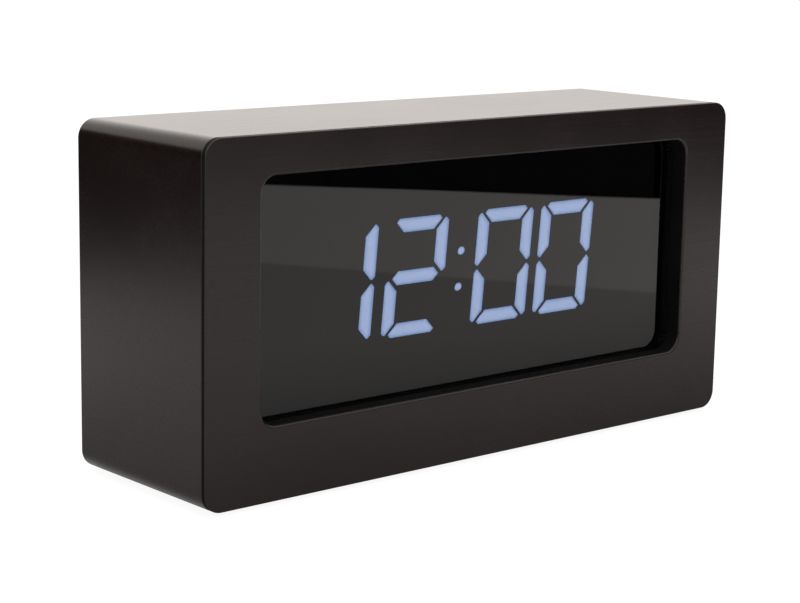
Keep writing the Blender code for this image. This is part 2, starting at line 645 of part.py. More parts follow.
def display_post_heights():
    reach = WINDOW_HEIGHT / 2 - DISPLAY_POST_INSET
    return ("bottom", WINDOW_MIDDLE_HEIGHT - reach), ("top", WINDOW_MIDDLE_HEIGHT + reach)


def display_screw_places():
    for side, left in (("left", POST_SIDE_INSET), ("right", CASE_WIDTH - POST_SIDE_INSET)):
        for end, height in display_post_heights():
            yield f"display_screw_{end}_{side}", left, height


def on_main_board(shares):
    """Left and height of a place on the main board."""
    return MAIN_BOARD_LEFT + MAIN_BOARD_WIDTH * shares[0], MAIN_BOARD_BOTTOM + MAIN_BOARD_HEIGHT * shares[1]


def board_screw_places():
    height = MAIN_BOARD_BOTTOM + MAIN_BOARD_HEIGHT * BOARD_SCREW_HEIGHT_SHARE
    yield "board_screw_left", MAIN_BOARD_LEFT + MAIN_BOARD_SCREW_INSET, height
    yield "board_screw_right", MAIN_BOARD_LEFT + MAIN_BOARD_WIDTH - MAIN_BOARD_SCREW_INSET, height


def button_places():
    """Name, left and height of each push button on the rear."""
    for name, shares in BUTTON_ROW_SHARES.items():
        yield name, *on_main_board(shares)


def make_feet():
    radius = FOOT_DIAMETER / 2
    height = FOOT_PROUD + FOOT_POCKET_DEPTH - FIT_GAP
    ease = FOOT_EDGE_EASE
    profile = ((0, height), (radius, height), (radius, ease), (radius - ease, 0), (0, 0))
    for name, left, depth in foot_places():
        place = spot(left, depth, 0)
        turned(name, "rubber_black", profile, Vector((place.x, place.y, 0)), (0, 0, 0))


def make_carrier():
    """The frame behind the window that carries the lens, the mask and the reflector."""
    middle = CASE_WIDTH / 2
    carrier = plate(
        "display_carrier", "mask_black", middle, WINDOW_MIDDLE_HEIGHT, CARRIER_FRONT, REFLECTOR_BACK,
        CARRIER_WIDTH, CARRIER_HEIGHT, CARRIER_CORNER_RADIUS,
    )
    cut(carrier, plate_cutter(
        "carrier_window", middle, WINDOW_MIDDLE_HEIGHT, CARRIER_FRONT - OVERRUN, CARRIER_LIP_BACK + OVERRUN,
        WINDOW_WIDTH, WINDOW_HEIGHT, WINDOW_CORNER_RADIUS,
    ))
    cut(carrier, plate_cutter(
        "carrier_bore", middle, WINDOW_MIDDLE_HEIGHT, CARRIER_LIP_BACK, REFLECTOR_BACK + OVERRUN,
        LENS_WIDTH + FIT_GAP * 2, LENS_HEIGHT + FIT_GAP * 2, LENS_CORNER_RADIUS + FIT_GAP,
    ))


def make_lens_and_gasket():
    middle = CASE_WIDTH / 2
    gasket = plate(
        "lens_gasket", "foam_black", middle, WINDOW_MIDDLE_HEIGHT, GASKET_FRONT,
        GASKET_FRONT + GASKET_THICKNESS, LENS_WIDTH, LENS_HEIGHT, LENS_CORNER_RADIUS,
    )
    cut(gasket, plate_cutter(
        "gasket_window", middle, WINDOW_MIDDLE_HEIGHT, GASKET_FRONT - OVERRUN, LENS_FRONT + OVERRUN,
        LENS_WIDTH - GASKET_WIDTH * 2, LENS_HEIGHT - GASKET_WIDTH * 2, LENS_CORNER_RADIUS - GASKET_WIDTH,
    ))
    lens = plate(
        "lens_window", "lens_smoke", middle, WINDOW_MIDDLE_HEIGHT, LENS_FRONT, LENS_BACK,
        LENS_WIDTH, LENS_HEIGHT, LENS_CORNER_RADIUS,
    )
    ease_faces(lens.data, -1, LENS_EDGE_EASE)


def segment_outlines(grown=0):
    """The seven bars of one digit about its own middle, each widened by grown on every side."""
    half = DIGIT_WIDTH / 2 + grown
    tall = DIGIT_HEIGHT / 2 + grown
    bar = DIGIT_STROKE + grown * 2
    end = (DIGIT_SEGMENT_GAP / 2 - grown) * math.sqrt(2)
    inner = half - bar
    top = ((-half + end, tall), (half - end, tall), (inner - end, tall - bar), (-inner + end, tall - bar))
    upper = (
        (half, tall - end), (half, bar / 2 + end), (half - bar / 2, end),
        (inner, bar / 2 + end), (inner, tall - bar - end),
    )
    middle = (
        (-half + bar / 2 + end, 0), (-inner + end, bar / 2), (inner - end, bar / 2),
        (half - bar / 2 - end, 0), (inner - end, -bar / 2), (-inner + end, -bar / 2),
    )
    bars = [top, middle, [(x, -z) for x, z in top]]
    for across, up in ((1, 1), (1, -1), (-1, 1), (-1, -1)):
        bars.append([(x * across, z * up) for x, z in upper])
    return [[(x + z * DIGIT_LEAN, z) for x, z in outline] for outline in bars]


def dot_outlines(grown=0):
    """The two round dots between the hours and the minutes, about their own middle."""
    radius = COLON_DOT_DIAMETER / 2 + grown
    turns = [math.tau * step / COLON_DOT_STEPS for step in range(COLON_DOT_STEPS)]
    dots = []
    for up in (-COLON_DOT_SPREAD / 2, COLON_DOT_SPREAD / 2):
        across = up * DIGIT_LEAN
        dots.append([(across + radius * math.cos(a), up + radius * math.sin(a)) for a in turns])
    return dots


def glyph_places():
    """Name, place across, web width and outline maker of each digit and of the colon."""
    web = DIGIT_PITCH - DIGIT_WEB_GAP
    names = ("digit_hour_tens", "digit_hour_ones", "digit_minute_tens", "digit_minute_ones")
    for index, name in enumerate(names):
        pair = -1 if index < 2 else 1
        side = -1 if index % 2 == 0 else 1
        across = CASE_WIDTH / 2 + DIGIT_PAIR_OFFSET * pair + DIGIT_PITCH / 2 * side
        yield name, across, web, segment_outlines
    middle = (DIGIT_PAIR_OFFSET - DIGIT_PITCH) * 2 - DIGIT_WEB_GAP
    yield "digit_colon", CASE_WIDTH / 2, middle, dot_outlines


def make_digits_and_mask():
    """Light guides, one for each digit, whose bars reach forward through a black mask."""
    guide_front = MASK_FRONT + LIGHT_GUIDE_RECESS
    mask = plate(
        "segment_mask", "mask_black", CASE_WIDTH / 2, WINDOW_MIDDLE_HEIGHT, MASK_FRONT, MASK_BACK,
        LENS_WIDTH, LENS_HEIGHT, LENS_CORNER_RADIUS,
    )
    web_height = DIGIT_HEIGHT + DIGIT_WEB_MARGIN * 2
    for name, across, web, outlines in glyph_places():
        guide = plate(
            name, "guide_milky", across, DIGIT_MIDDLE_HEIGHT, WEB_FRONT, WEB_BACK, web, web_height
        )
        bar_back = WEB_FRONT + LIGHT_GUIDE_WEB / 2
        bars = outline_mesh(name + "_bars", outlines(), bar_back - guide_front)
        place = spot(across, (guide_front + bar_back) / 2, DIGIT_MIDDLE_HEIGHT)
        grow(guide, set_cutter(name + "_bars", bars, place, (QUARTER_TURN, 0, 0)))
        holes = outline_mesh(name + "_holes", outlines(LIGHT_GUIDE_GAP), MASK_THICKNESS + OVERRUN * 2)
        place = spot(across, (MASK_FRONT + MASK_BACK) / 2, DIGIT_MIDDLE_HEIGHT)
        cut(mask, set_cutter(name + "_holes", holes, place, (QUARTER_TURN, 0, 0)))


def make_reflector():
    """The white frame behind the light guides, with a light well for each."""
    reflector = plate(
        "backlight_reflector", "reflector_white", CASE_WIDTH / 2, WINDOW_MIDDLE_HEIGHT, WEB_FRONT,
        REFLECTOR_BACK, LENS_WIDTH, LENS_HEIGHT, LENS_CORNER_RADIUS,
    )
    web_height = DIGIT_HEIGHT + DIGIT_WEB_MARGIN * 2
    span = (DIGIT_PAIR_OFFSET + DIGIT_PITCH - DIGIT_WEB_GAP / 2 + FIT_GAP) * 2
    cut(reflector, plate_cutter(
        "reflector_seat", CASE_WIDTH / 2, DIGIT_MIDDLE_HEIGHT, WEB_FRONT - OVERRUN, WEB_BACK + FIT_GAP,
        span, web_height + FIT_GAP * 2,
    ))
    for name, across, web, _ in glyph_places():
        wall = REFLECTOR_WALL - DIGIT_WEB_GAP
        cut(reflector, plate_cutter(
            name + "_well", across, DIGIT_MIDDLE_HEIGHT, WEB_BACK, REFLECTOR_BACK + OVERRUN,
            web - wall, web_height - wall,
        ))


def make_display_board():
    """The board that closes the display stack, with one small light behind each bar and dot."""
    board = plate(
        "display_board", "board_green", CASE_WIDTH / 2, WINDOW_MIDDLE_HEIGHT, DISPLAY_BOARD_FRONT,
        DISPLAY_BOARD_BACK, CARRIER_WIDTH, CARRIER_HEIGHT,
    )
    ear_span = CASE_WIDTH - (POST_SIDE_INSET - DISPLAY_BOARD_EAR_MARGIN) * 2
    for end, height in display_post_heights():
        grow(board, plate_cutter(
            "display_board_ears_" + end, CASE_WIDTH / 2, height, DISPLAY_BOARD_FRONT, DISPLAY_BOARD_BACK,
            ear_span, DISPLAY_BOARD_EAR_HEIGHT,
        ))
    for name, left, height in display_screw_places():
        cut(board, rod_cutter(
            name + "_hole", left, height, DISPLAY_BOARD_FRONT - OVERRUN, DISPLAY_BOARD_BACK + OVERRUN,
            PILOT_DIAMETER,
        ))
    lights = bmesh.new()
    seated = LED_HEIGHT + SEAT_OVERLAP
    for _, across, _, outlines in glyph_places():
        for outline in outlines():
            x = sum(point[0] for point in outline) / len(outline)
            z = sum(point[1] for point in outline) / len(outline)
            light = bmesh.ops.create_cube(lights, size=1)["verts"]
            bmesh.ops.scale(lights, vec=(LED_SIDE, seated, LED_SIDE), verts=light)
            move = Vector((across + x - CASE_WIDTH / 2, 0, z - DIGIT_DROP))
            bmesh.ops.translate(lights, vec=move, verts=light)
    place = spot(CASE_WIDTH / 2, DISPLAY_BOARD_FRONT + SEAT_OVERLAP - seated / 2, WINDOW_MIDDLE_HEIGHT)
    grow(board, set_cutter("display_lights", mesh_from(lights, "display_lights"), place))


def slot_screw(name, left, height, seat, length, way=1):
    """A screw whose head rests on the seat's depth, driven from the rear (1) or from the front (-1)."""
    head, shank, ease = SCREW_HEAD_DIAMETER / 2, SCREW_SHANK_DIAMETER / 2, SCREW_HEAD_EASE
    top = SCREW_HEAD_HEIGHT
    profile = (
        (0, top), (head - ease, top), (head, top - ease), (head, 0), (shank, 0),
        (shank, -length + shank), (shank / 2, -length), (0, -length),
    )
    place = spot(left, seat, height)
    screw = turned(name, "screw_steel", profile, place, (-QUARTER_TURN * way, 0, 0), SMALL_ROUND_STEPS)
    face = spot(left, seat + top * way, height)
    for run, angle in (("across", 0), ("up", QUARTER_TURN)):
        mesh = block_mesh(name + "_slot_" + run, SCREW_SLOT_LENGTH, SCREW_SLOT_DEPTH * 2, SCREW_SLOT_WIDTH)
        cut(screw, set_cutter(name + "_slot_" + run, mesh, face, (0, angle, 0)))


def make_screws():
    cover_seat = CASE_POST_END + FIT_GAP + COVER_POST_SEAT
    for name, left, height in case_screw_places():
        slot_screw(name, left, height, cover_seat + FIT_GAP, CASE_SCREW_LENGTH)
    for name, left, height in display_screw_places():
        slot_screw(name, left, height, DISPLAY_BOARD_BACK + FIT_GAP, BOARD_SCREW_LENGTH)
    for name, left, height in board_screw_places():
        slot_screw(name, left, height, UNDER_BOARD, BOARD_SCREW_LENGTH, -1)


def make_rear_cover():
    """Cover plate with the battery tub, the screw posts, the board bosses and the control openings."""
    width = CASE_WIDTH - (COVER_REBATE_WALL + FIT_GAP) * 2
    height = CASE_HEIGHT - (COVER_REBATE_WALL + FIT_GAP) * 2
    radius = CASE_CORNER_RADIUS - COVER_REBATE_WALL - FIT_GAP
    cover = plate(
        "rear_cover", "cover_black", CASE_WIDTH / 2, CASE_HEIGHT / 2, COVER_FRONT, COVER_BACK,
        width, height, radius,
    )
    ease_faces(cover.data, 1, COVER_EDGE_EASE)
    rooted = COVER_FRONT + SEAT_OVERLAP
    across = TUB_LEFT + TUB_LENGTH / 2
    up = TUB_BOTTOM + TUB_HEIGHT / 2
    grow(cover, plate_cutter(
        "tub_outside", across, up, TUB_FLOOR_BACK, rooted,
        TUB_LENGTH + TUB_WALL * 2, TUB_HEIGHT + TUB_WALL * 2,
    ))
    for name, left, high in case_screw_places():
        start = CASE_POST_END + FIT_GAP
        grow(cover, rod_cutter(name + "_tube", left, high, start, rooted, COVER_POST_DIAMETER))
        cut(cover, rod_cutter(
            name + "_bore", left, high, start - OVERRUN, COVER_BACK + OVERRUN, PILOT_DIAMETER
        ))
        cut(cover, rod_cutter(
            name + "_counterbore", left, high, start + COVER_POST_SEAT, COVER_BACK + OVERRUN,
            COVER_COUNTERBORE_DIAMETER, ROUND_STEPS,
        ))
    for name, left, high in board_screw_places():
        grow(cover, rod_cutter(name + "_boss", left, high, ON_BOARD, rooted, POST_DIAMETER))
        end = UNDER_BOARD + BOARD_SCREW_LENGTH + PILOT_SPARE_DEPTH
        cut(cover, rod_cutter(name + "_pilot", left, high, ON_BOARD - OVERRUN, end, PILOT_DIAMETER))
    cut_tub(cover, across, up)
    cut_controls(cover)


def cut_tub(cover, across, up):
    cut(cover, plate_cutter(
        "door_opening", across, up, COVER_FRONT, COVER_BACK + OVERRUN,
        DOOR_WIDTH + FIT_GAP * 2, DOOR_HEIGHT + FIT_GAP * 2, DOOR_CORNER_RADIUS + FIT_GAP,
    ))
    cut(cover, plate_cutter(
        "tub_inside", across, up, TUB_FLOOR_FACE, COVER_FRONT + OVERRUN, TUB_LENGTH, TUB_HEIGHT
    ))
    lip = TUB_BOTTOM - DOOR_LEDGE - FIT_GAP
    deep = COVER_FRONT - DOOR_TAB_THICKNESS - DOOR_TAB_DROP - DOOR_TAB_SWING_ROOM
    wide = DOOR_TAB_WIDTH + FIT_GAP * 2
    reach = DOOR_TAB_REACH + DOOR_TAB_SWING_ROOM / 2
    for name, left in door_tab_places():
        cut(cover, plate_cutter(
            name + "_neck_slot", left, (lip + TUB_BOTTOM + OVERRUN) / 2, deep, COVER_FRONT + OVERRUN,
            wide, TUB_BOTTOM + OVERRUN - lip,
        ))
        cut(cover, plate_cutter(
            name + "_hook_slot", left, lip - reach / 2 + OVERRUN / 2, deep, COVER_FRONT,
            wide, reach + OVERRUN,
        ))
    for name, left, height in terminal_places():
        cut(cover, plate_cutter(
            name + "_slot", left, height, TUB_FLOOR_BACK - OVERRUN, TUB_FLOOR_FACE + OVERRUN,
            CONTACT_THICKNESS + FIT_GAP * 2, CONTACT_TAB_WIDTH + FIT_GAP * 2,
        ))
    cut(cover, rod_cutter(
        "finger_notch", across, TUB_BOTTOM + TUB_HEIGHT + DOOR_LEDGE, COVER_BACK - NOTCH_DEPTH,
        COVER_BACK + OVERRUN, NOTCH_DIAMETER, ROUND_STEPS,
    ))


def cut_controls(cover):
    through = (COVER_FRONT - OVERRUN, COVER_BACK + OVERRUN)
    for name, left, height in button_places():
        cut(cover, plate_cutter(
            name + "_hole", left, height, *through, BUTTON_WIDTH + FIT_GAP * 2, BUTTON_HEIGHT + FIT_GAP * 2,
            BUTTON_CORNER_RADIUS + FIT_GAP,
        ))
    cut(cover, plate_cutter(
        "slider_slot", *on_main_board(SLIDER_SHARES), *through,
        SLIDER_KNOB_WIDTH + SLIDER_TRAVEL + FIT_GAP * 2, SLIDER_KNOB_HEIGHT + FIT_GAP * 2,
    ))
    socket_room = SOCKET_NOSE_DIAMETER + FIT_GAP * 2
    cut(cover, rod_cutter("socket_hole", *on_main_board(SOCKET_SHARES), *through, socket_room, ROUND_STEPS))
    left, height = on_main_board(BUZZER_SHARES)
    cut(cover, rod_cutter("sound_hole", left, height, *through, SOUND_HOLE_DIAMETER))
    for step in range(SOUND_HOLE_COUNT):
        angle = math.tau * step / SOUND_HOLE_COUNT
        across = left + SOUND_HOLE_PITCH * math.cos(angle)
        up = height + SOUND_HOLE_PITCH * math.sin(angle)
        cut(cover, rod_cutter(f"sound_hole_{step}", across, up, *through, SOUND_HOLE_DIAMETER))


def door_tab_places():
    for side, left in (
        ("left", TUB_LEFT + DOOR_TAB_INSET),
        ("right", TUB_LEFT + TUB_LENGTH - DOOR_TAB_INSET),
    ):
        yield "door_tab_" + side, left


def make_battery_door():
    """The door swings about its lower outer edge, and two tabs hook it under the cover there."""
    across = TUB_LEFT + TUB_LENGTH / 2
    bottom = TUB_BOTTOM - DOOR_LEDGE
    axle = bpy.data.objects.new("battery_door_axis", None)
    PARTS.objects.link(axle)
    axle.parent = HOLDER
    axle.location = spot(across, COVER_BACK, bottom)
    mesh = block_mesh("battery_door", DOOR_WIDTH, DOOR_THICKNESS, DOOR_HEIGHT, DOOR_CORNER_RADIUS)
    ease_faces(mesh, 1, COVER_EDGE_EASE)
    place = spot(across, COVER_BACK - DOOR_THICKNESS / 2, bottom + DOOR_HEIGHT / 2)
    door = set_piece("battery_door", mesh, "cover_black", place, parent=axle)
    inner = COVER_BACK - DOOR_THICKNESS
    hook_back = COVER_FRONT - DOOR_TAB_DROP
    hook_front = hook_back - DOOR_TAB_THICKNESS
    for name, left in door_tab_places():
        grow(door, plate_cutter(
            name + "_neck", left, bottom + DOOR_TAB_NECK / 2, hook_front, inner + SEAT_OVERLAP,
            DOOR_TAB_WIDTH, DOOR_TAB_NECK,
        ))
        grow(door, plate_cutter(
            name + "_hook", left, bottom + (DOOR_TAB_NECK - DOOR_TAB_REACH) / 2, hook_front, hook_back,
            DOOR_TAB_WIDTH, DOOR_TAB_NECK + DOOR_TAB_REACH,
        ))
    for step in range(DOOR_GRIP_COUNT):
        height = bottom + DOOR_HEIGHT - DOOR_GRIP_INSET - DOOR_GRIP_PITCH * step
        cut(door, plate_cutter(
            f"door_grip_{step}", across, height, COVER_BACK - DOOR_GRIP_DEPTH, COVER_BACK + OVERRUN,
            DOOR_GRIP_WIDTH, DOOR_GRIP_HEIGHT,
        ))


def cell_row_height(row):
    return TUB_BOTTOM + CELL_GAP + CELL_DIAMETER / 2 + (CELL_DIAMETER + CELL_GAP) * row


def contact_middle(side):
    """Distance from the case's left side to the middle of a contact plate at the tub's left or right end."""
    inset = FIT_GAP + CONTACT_THICKNESS / 2
    return TUB_LEFT + inset if side < 0 else TUB_LEFT + TUB_LENGTH - inset


def terminal_places():
    """The contact plates with a wire: name, left, and height of the cell row that each one meets."""
    yield "terminal_negative", contact_middle(-1), cell_row_height(0)
    yield "terminal_positive", contact_middle(1), cell_row_height(CELL_ROWS - 1)


def link_places():
    """The contact plates between two rows: name, left, and the lowest and highest height that each meets."""
    yield "cell_link_left", contact_middle(-1), cell_row_height(1), cell_row_height(CELL_ROWS - 1)
    yield "cell_link_right", contact_middle(1), cell_row_height(0), cell_row_height(CELL_ROWS - 2)


def contact_plate(name, left, low, high):
    middle = (low + high) / 2
    tall = high - low + CONTACT_HEIGHT
    front = TUB_FLOOR_FACE + FIT_GAP
    back = front + CONTACT_DEPTH
    return plate(name, "contact_nickel", left, middle, front, back, CONTACT_THICKNESS, tall)


def make_contacts():
    for name, left, low, high in link_places():
        contact_plate(name, left, low, high)
    for name, left, height in terminal_places():
        terminal = contact_plate(name, left, height, height)
        front = TUB_FLOOR_FACE + FIT_GAP
        grow(terminal, plate_cutter(
            name + "_tab", left, height, TUB_FLOOR_BACK - CONTACT_TAB_REACH, front + SEAT_OVERLAP,
            CONTACT_THICKNESS, CONTACT_TAB_WIDTH,
        ))


def make_cells():
    """Three cells head to tail, each pressed by a coil spring at its flat end."""
    radius, nub, ease = CELL_DIAMETER / 2, CELL_NUB_DIAMETER / 2, CELL_EDGE_EASE
    shoulder = CELL_LENGTH - CELL_NUB_LENGTH
    profile = (
        (0, CELL_LENGTH), (nub, CELL_LENGTH), (nub, shoulder), (radius - ease, shoulder),
        (radius, shoulder - ease), (radius, ease), (radius - ease, 0), (0, 0),
    )
    depth = TUB_FLOOR_FACE + FIT_GAP + CELL_DIAMETER / 2
    for row in range(CELL_ROWS):
        way = 1 if row % 2 == 0 else -1
        wall = TUB_LEFT if way > 0 else TUB_LEFT + TUB_LENGTH
        plate_face = wall + (FIT_GAP + CONTACT_THICKNESS) * way
        spring_start = plate_face + FIT_GAP * way
        cell_start = spring_start + (SPRING_LENGTH + FIT_GAP) * way
        height = cell_row_height(row)
        turned(
            f"battery_cell_{row + 1}", "cell_jacket", profile, spot(cell_start, depth, height),
            (0, QUARTER_TURN * way, 0),
        )
        make_spring(f"contact_spring_{row + 1}", spot(spring_start, depth, height), way)


def make_spring(name, place, way):
    """A conical coil along X, wide at its contact plate."""
    points = []
    count = round(SPRING_TURNS * SPRING_TURN_POINTS)
    wire = SPRING_WIRE_DIAMETER
    for step in range(count + 1):
        share = step / count
        angle = math.tau * SPRING_TURNS * share
        radius = SPRING_WIDE_RADIUS + (SPRING_NARROW_RADIUS - SPRING_WIDE_RADIUS) * share
        along = (wire / 2 + (SPRING_LENGTH - wire) * share) * way
        points.append(Vector((along, radius * math.cos(angle), radius * math.sin(angle))))
    least = min(
        (points[i] - points[j]).length
        for i in range(len(points)) for j in range(i + SPRING_TURN_POINTS - 2, len(points))
    )
    print(f"{name}: least gap between turns {(least - wire) / MM:.2f} mm")
    set_wire(name, "contact_nickel", points, wire, place)


def set_wire(name, finish, points, diameter, place):
    """A round wire through the points, as a curve with filled ends."""
    curve = bpy.data.curves.new(name, "CURVE")
    curve.dimensions = "3D"
    curve.bevel_depth = diameter / 2
    curve.bevel_resolution = 1
    curve.use_fill_caps = True
    spline = curve.splines.new("POLY")
    spline.points.add(len(points) - 1)
    for target, point in zip(spline.points, points):
        target.co = (*point, 1)
    return set_piece(name, curve, finish, place)


def make_main_board():
    across = MAIN_BOARD_LEFT + MAIN_BOARD_WIDTH / 2
    up = MAIN_BOARD_BOTTOM + MAIN_BOARD_HEIGHT / 2
    board = plate(
        "main_board", "board_green", across, up, MAIN_BOARD_FACE, MAIN_BOARD_BACK,
        MAIN_BOARD_WIDTH, MAIN_BOARD_HEIGHT,
    )
    through = (MAIN_BOARD_FACE - OVERRUN, MAIN_BOARD_BACK + OVERRUN)
    for name, left, height in board_screw_places():
        cut(board, rod_cutter(name + "_hole", left, height, *through, PILOT_DIAMETER))


def make_switches_and_buttons():
    for name, left, height in button_places():
        kind = name.replace("_button", "")
        top = ON_BOARD + TACT_HEIGHT
        switch = plate(
            kind + "_switch", "part_black", left, height, ON_BOARD, top, TACT_SIDE, TACT_SIDE
        )
        grow(switch, rod_cutter(
            kind + "_plunger", left, height, top - SEAT_OVERLAP, TACT_PLUNGER_END, TACT_PLUNGER_DIAMETER
        ))
        make_button(name, left, height)


def make_button(name, left, height):
    front = COVER_FRONT - FIT_GAP - BUTTON_FLANGE_THICKNESS
    back = COVER_BACK + BUTTON_PROUD
    mesh = block_mesh(
        name, BUTTON_WIDTH, back - front, BUTTON_HEIGHT, BUTTON_CORNER_RADIUS, BUTTON_CORNER_STEPS
    )
    ease_faces(mesh, 1, BUTTON_EDGE_EASE, EASE_STEPS)
    button = set_piece(name, mesh, "cover_black", spot(left, (front + back) / 2, height))
    grow(button, plate_cutter(
        name + "_flange", left, height, front, front + BUTTON_FLANGE_THICKNESS,
        BUTTON_WIDTH + BUTTON_FLANGE * 2, BUTTON_HEIGHT + BUTTON_FLANGE * 2, BUTTON_CORNER_RADIUS,
    ))
    grow(button, rod_cutter(
        name + "_stem", left, height, BUTTON_STEM_END, front + SEAT_OVERLAP, BUTTON_STEM_DIAMETER
    ))


def make_alarm_slider():
    """The on and off slider, shown off; its lever dips into the switch behind it."""
    left, height = on_main_board(SLIDER_SHARES)
    mouth = ON_BOARD + SLIDE_SWITCH_DEPTH
    switch = plate(
        "slide_switch", "can_metal", left, height, ON_BOARD, mouth, SLIDE_SWITCH_WIDTH, SLIDE_SWITCH_HEIGHT
    )
    cut(switch, plate_cutter(
        "slide_switch_slot", left, height, mouth - SLIDE_SWITCH_SLOT_DEPTH, mouth + OVERRUN,
        SLIDER_LEVER_WIDTH + SLIDER_TRAVEL + FIT_GAP * 2, SLIDER_LEVER_HEIGHT + FIT_GAP * 2,
    ))
    rest = left - SLIDER_TRAVEL / 2
    front = COVER_FRONT - FIT_GAP - SLIDER_FLANGE_THICKNESS
    back = COVER_BACK + SLIDER_KNOB_PROUD
    mesh = block_mesh("alarm_slider", SLIDER_KNOB_WIDTH, back - front, SLIDER_KNOB_HEIGHT)
    ease_faces(mesh, 1, SLIDER_KNOB_EASE)
    slider = set_piece("alarm_slider", mesh, "cover_black", spot(rest, (front + back) / 2, height))
    grow(slider, plate_cutter(
        "slider_flange", rest, height, front, front + SLIDER_FLANGE_THICKNESS,
        SLIDER_FLANGE_WIDTH, SLIDER_FLANGE_HEIGHT,
    ))
    grow(slider, plate_cutter(
        "slider_lever", rest, height, mouth - SLIDER_LEVER_DIP, front + SEAT_OVERLAP,
        SLIDER_LEVER_WIDTH, SLIDER_LEVER_HEIGHT,
    ))


def make_power_socket():
    """The supply inlet: a square body on the board, with a round nose in the cover's hole."""
    left, height = on_main_board(SOCKET_SHARES)
    shoulder = COVER_FRONT - FIT_GAP
    floor = COVER_BACK - SOCKET_BORE_DEPTH
    socket = plate(
        "power_socket", "part_black", left, height, ON_BOARD, shoulder, SOCKET_BODY_SIDE, SOCKET_BODY_SIDE
    )
    grow(socket, rod_cutter(
        "socket_nose", left, height, shoulder - SEAT_OVERLAP, COVER_BACK, SOCKET_NOSE_DIAMETER, ROUND_STEPS
    ))
    cut(socket, rod_cutter(
        "socket_bore", left, height, floor, COVER_BACK + OVERRUN, SOCKET_BORE_DIAMETER, ROUND_STEPS
    ))
    grow(socket, rod_cutter(
        "socket_pin", left, height, floor - SEAT_OVERLAP, floor + SOCKET_PIN_LENGTH, SOCKET_PIN_DIAMETER
    ))


def make_buzzer():
    left, height = on_main_board(BUZZER_SHARES)
    back = COVER_FRONT - BUZZER_COVER_GAP
    mesh = rod_mesh("buzzer", BUZZER_DIAMETER, back - ON_BOARD, ROUND_STEPS)
    buzzer = set_piece("buzzer", mesh, "part_black", spot(left, (ON_BOARD + back) / 2, height))
    cut(buzzer, rod_cutter(
        "buzzer_hole", left, height, back - BUZZER_HOLE_DEPTH, back + OVERRUN, BUZZER_HOLE_DIAMETER
    ))


def make_front_components():
    """What sits on the main board's front side: the clock chip and its crystal."""
    left, height = on_main_board(CHIP_SHARES)
    chip = plate(
        "clock_chip", "part_black", left, height, UNDER_BOARD - CHIP_THICKNESS, UNDER_BOARD,
        CHIP_SIDE, CHIP_SIDE,
    )
    ease_faces(chip.data, -1, CHIP_EDGE_EASE)
    crystal_left = left + (CHIP_SIDE + CRYSTAL_LENGTH) / 2 + CRYSTAL_CHIP_GAP
    plate(
        "crystal_can", "can_metal", crystal_left, height, UNDER_BOARD - CRYSTAL_THICKNESS, UNDER_BOARD,
        CRYSTAL_LENGTH, CRYSTAL_WIDTH, CRYSTAL_CORNER_RADIUS,
    )


def rounded_route(corners, radius, count):
    """Evenly spread points along straight runs whose corners are turned with quarter arcs."""
    path = [corners[0]]
    for before, corner, after in zip(corners, corners[1:], corners[2:]):
        into = (corner - before).normalized()
        out = (after - corner).normalized()
        start = corner - into * radius
        for step in range(BEND_STEPS + 1):
            turn = QUARTER_TURN * step / BEND_STEPS
            path.append(start + into * radius * math.sin(turn) + out * radius * (1 - math.cos(turn)))
    path.append(corners[-1])
    lengths = [0]
    for first, second in zip(path, path[1:]):
        lengths.append(lengths[-1] + (second - first).length)
    points = []
    for step in range(count + 1):
        want = lengths[-1] * step / count
        index = max(i for i, length in enumerate(lengths[:-1]) if length <= want)
        share = (want - lengths[index]) / (lengths[index + 1] - lengths[index])
        points.append(path[index].lerp(path[index + 1], share))
    return points


def make_wiring():
    """Two battery wires, from the terminals' tabs forward, across and back to the main board."""
    start = TUB_FLOOR_BACK - CONTACT_TAB_REACH - FIT_GAP
    landing = MAIN_BOARD_LEFT + WIRE_LANDING
    for colour, (_, left, height) in zip(("black", "red"), terminal_places()):
        run = landing - left
        forward = WIRE_RUN_DEPTH - start
        corners = (
            Vector((0, 0, 0)),
            Vector((0, forward, 0)),
            Vector((run, forward, 0)),
            Vector((run, UNDER_BOARD - start, 0)),
        )
        route = rounded_route(corners, WIRE_BEND_RADIUS, WIRE_POINT_COUNT)
        place = spot(left, start, height)
        set_wire("battery_wire_" + colour, "wire_" + colour, route, WIRE_DIAMETER, place)


def make_ribbon():
    """The flat cable between the two boards."""
    left, high_end = on_main_board(RIBBON_HIGH_END_SHARES)
    first, last = DISPLAY_BOARD_BACK + FIT_GAP, UNDER_BOARD
    bm = bmesh.new()
    row = None
    for step in range(RIBBON_STEPS + 1):
        share = step / RIBBON_STEPS
        smooth = share * share * (3 - 2 * share)
        along = (last - first) * share
        up = RIBBON_DROP * (smooth - 1)
        ends = [bm.verts.new((RIBBON_WIDTH / 2 * way, along, up)) for way in (-1, 1)]
        if row:
            bm.faces.new((row[0], row[1], ends[1], ends[0]))
        row = ends
    mesh = bpy.data.meshes.new("ribbon_cable")
    bm.to_mesh(mesh)
    bm.free()
    mesh.shade_smooth()
    ribbon = set_piece("ribbon_cable", mesh, "ribbon_grey", spot(left, first, high_end))
    wall = ribbon.modifiers.new("thickness", "SOLIDIFY")
    wall.thickness = RIBBON_THICKNESS
    wall.offset = 0


make_case_sleeve()
make_front_fascia()
make_feet()
make_carrier()
make_lens_and_gasket()
make_digits_and_mask()
make_reflector()
make_display_board()
make_rear_cover()
make_battery_door()
make_contacts()
make_cells()
make_main_board()
make_switches_and_buttons()
make_alarm_slider()
make_power_socket()
make_buzzer()
make_front_components()
make_wiring()
make_ribbon()
make_screws()
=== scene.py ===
import json
import math

import bmesh
import bpy
from mathutils import Matrix, Vector

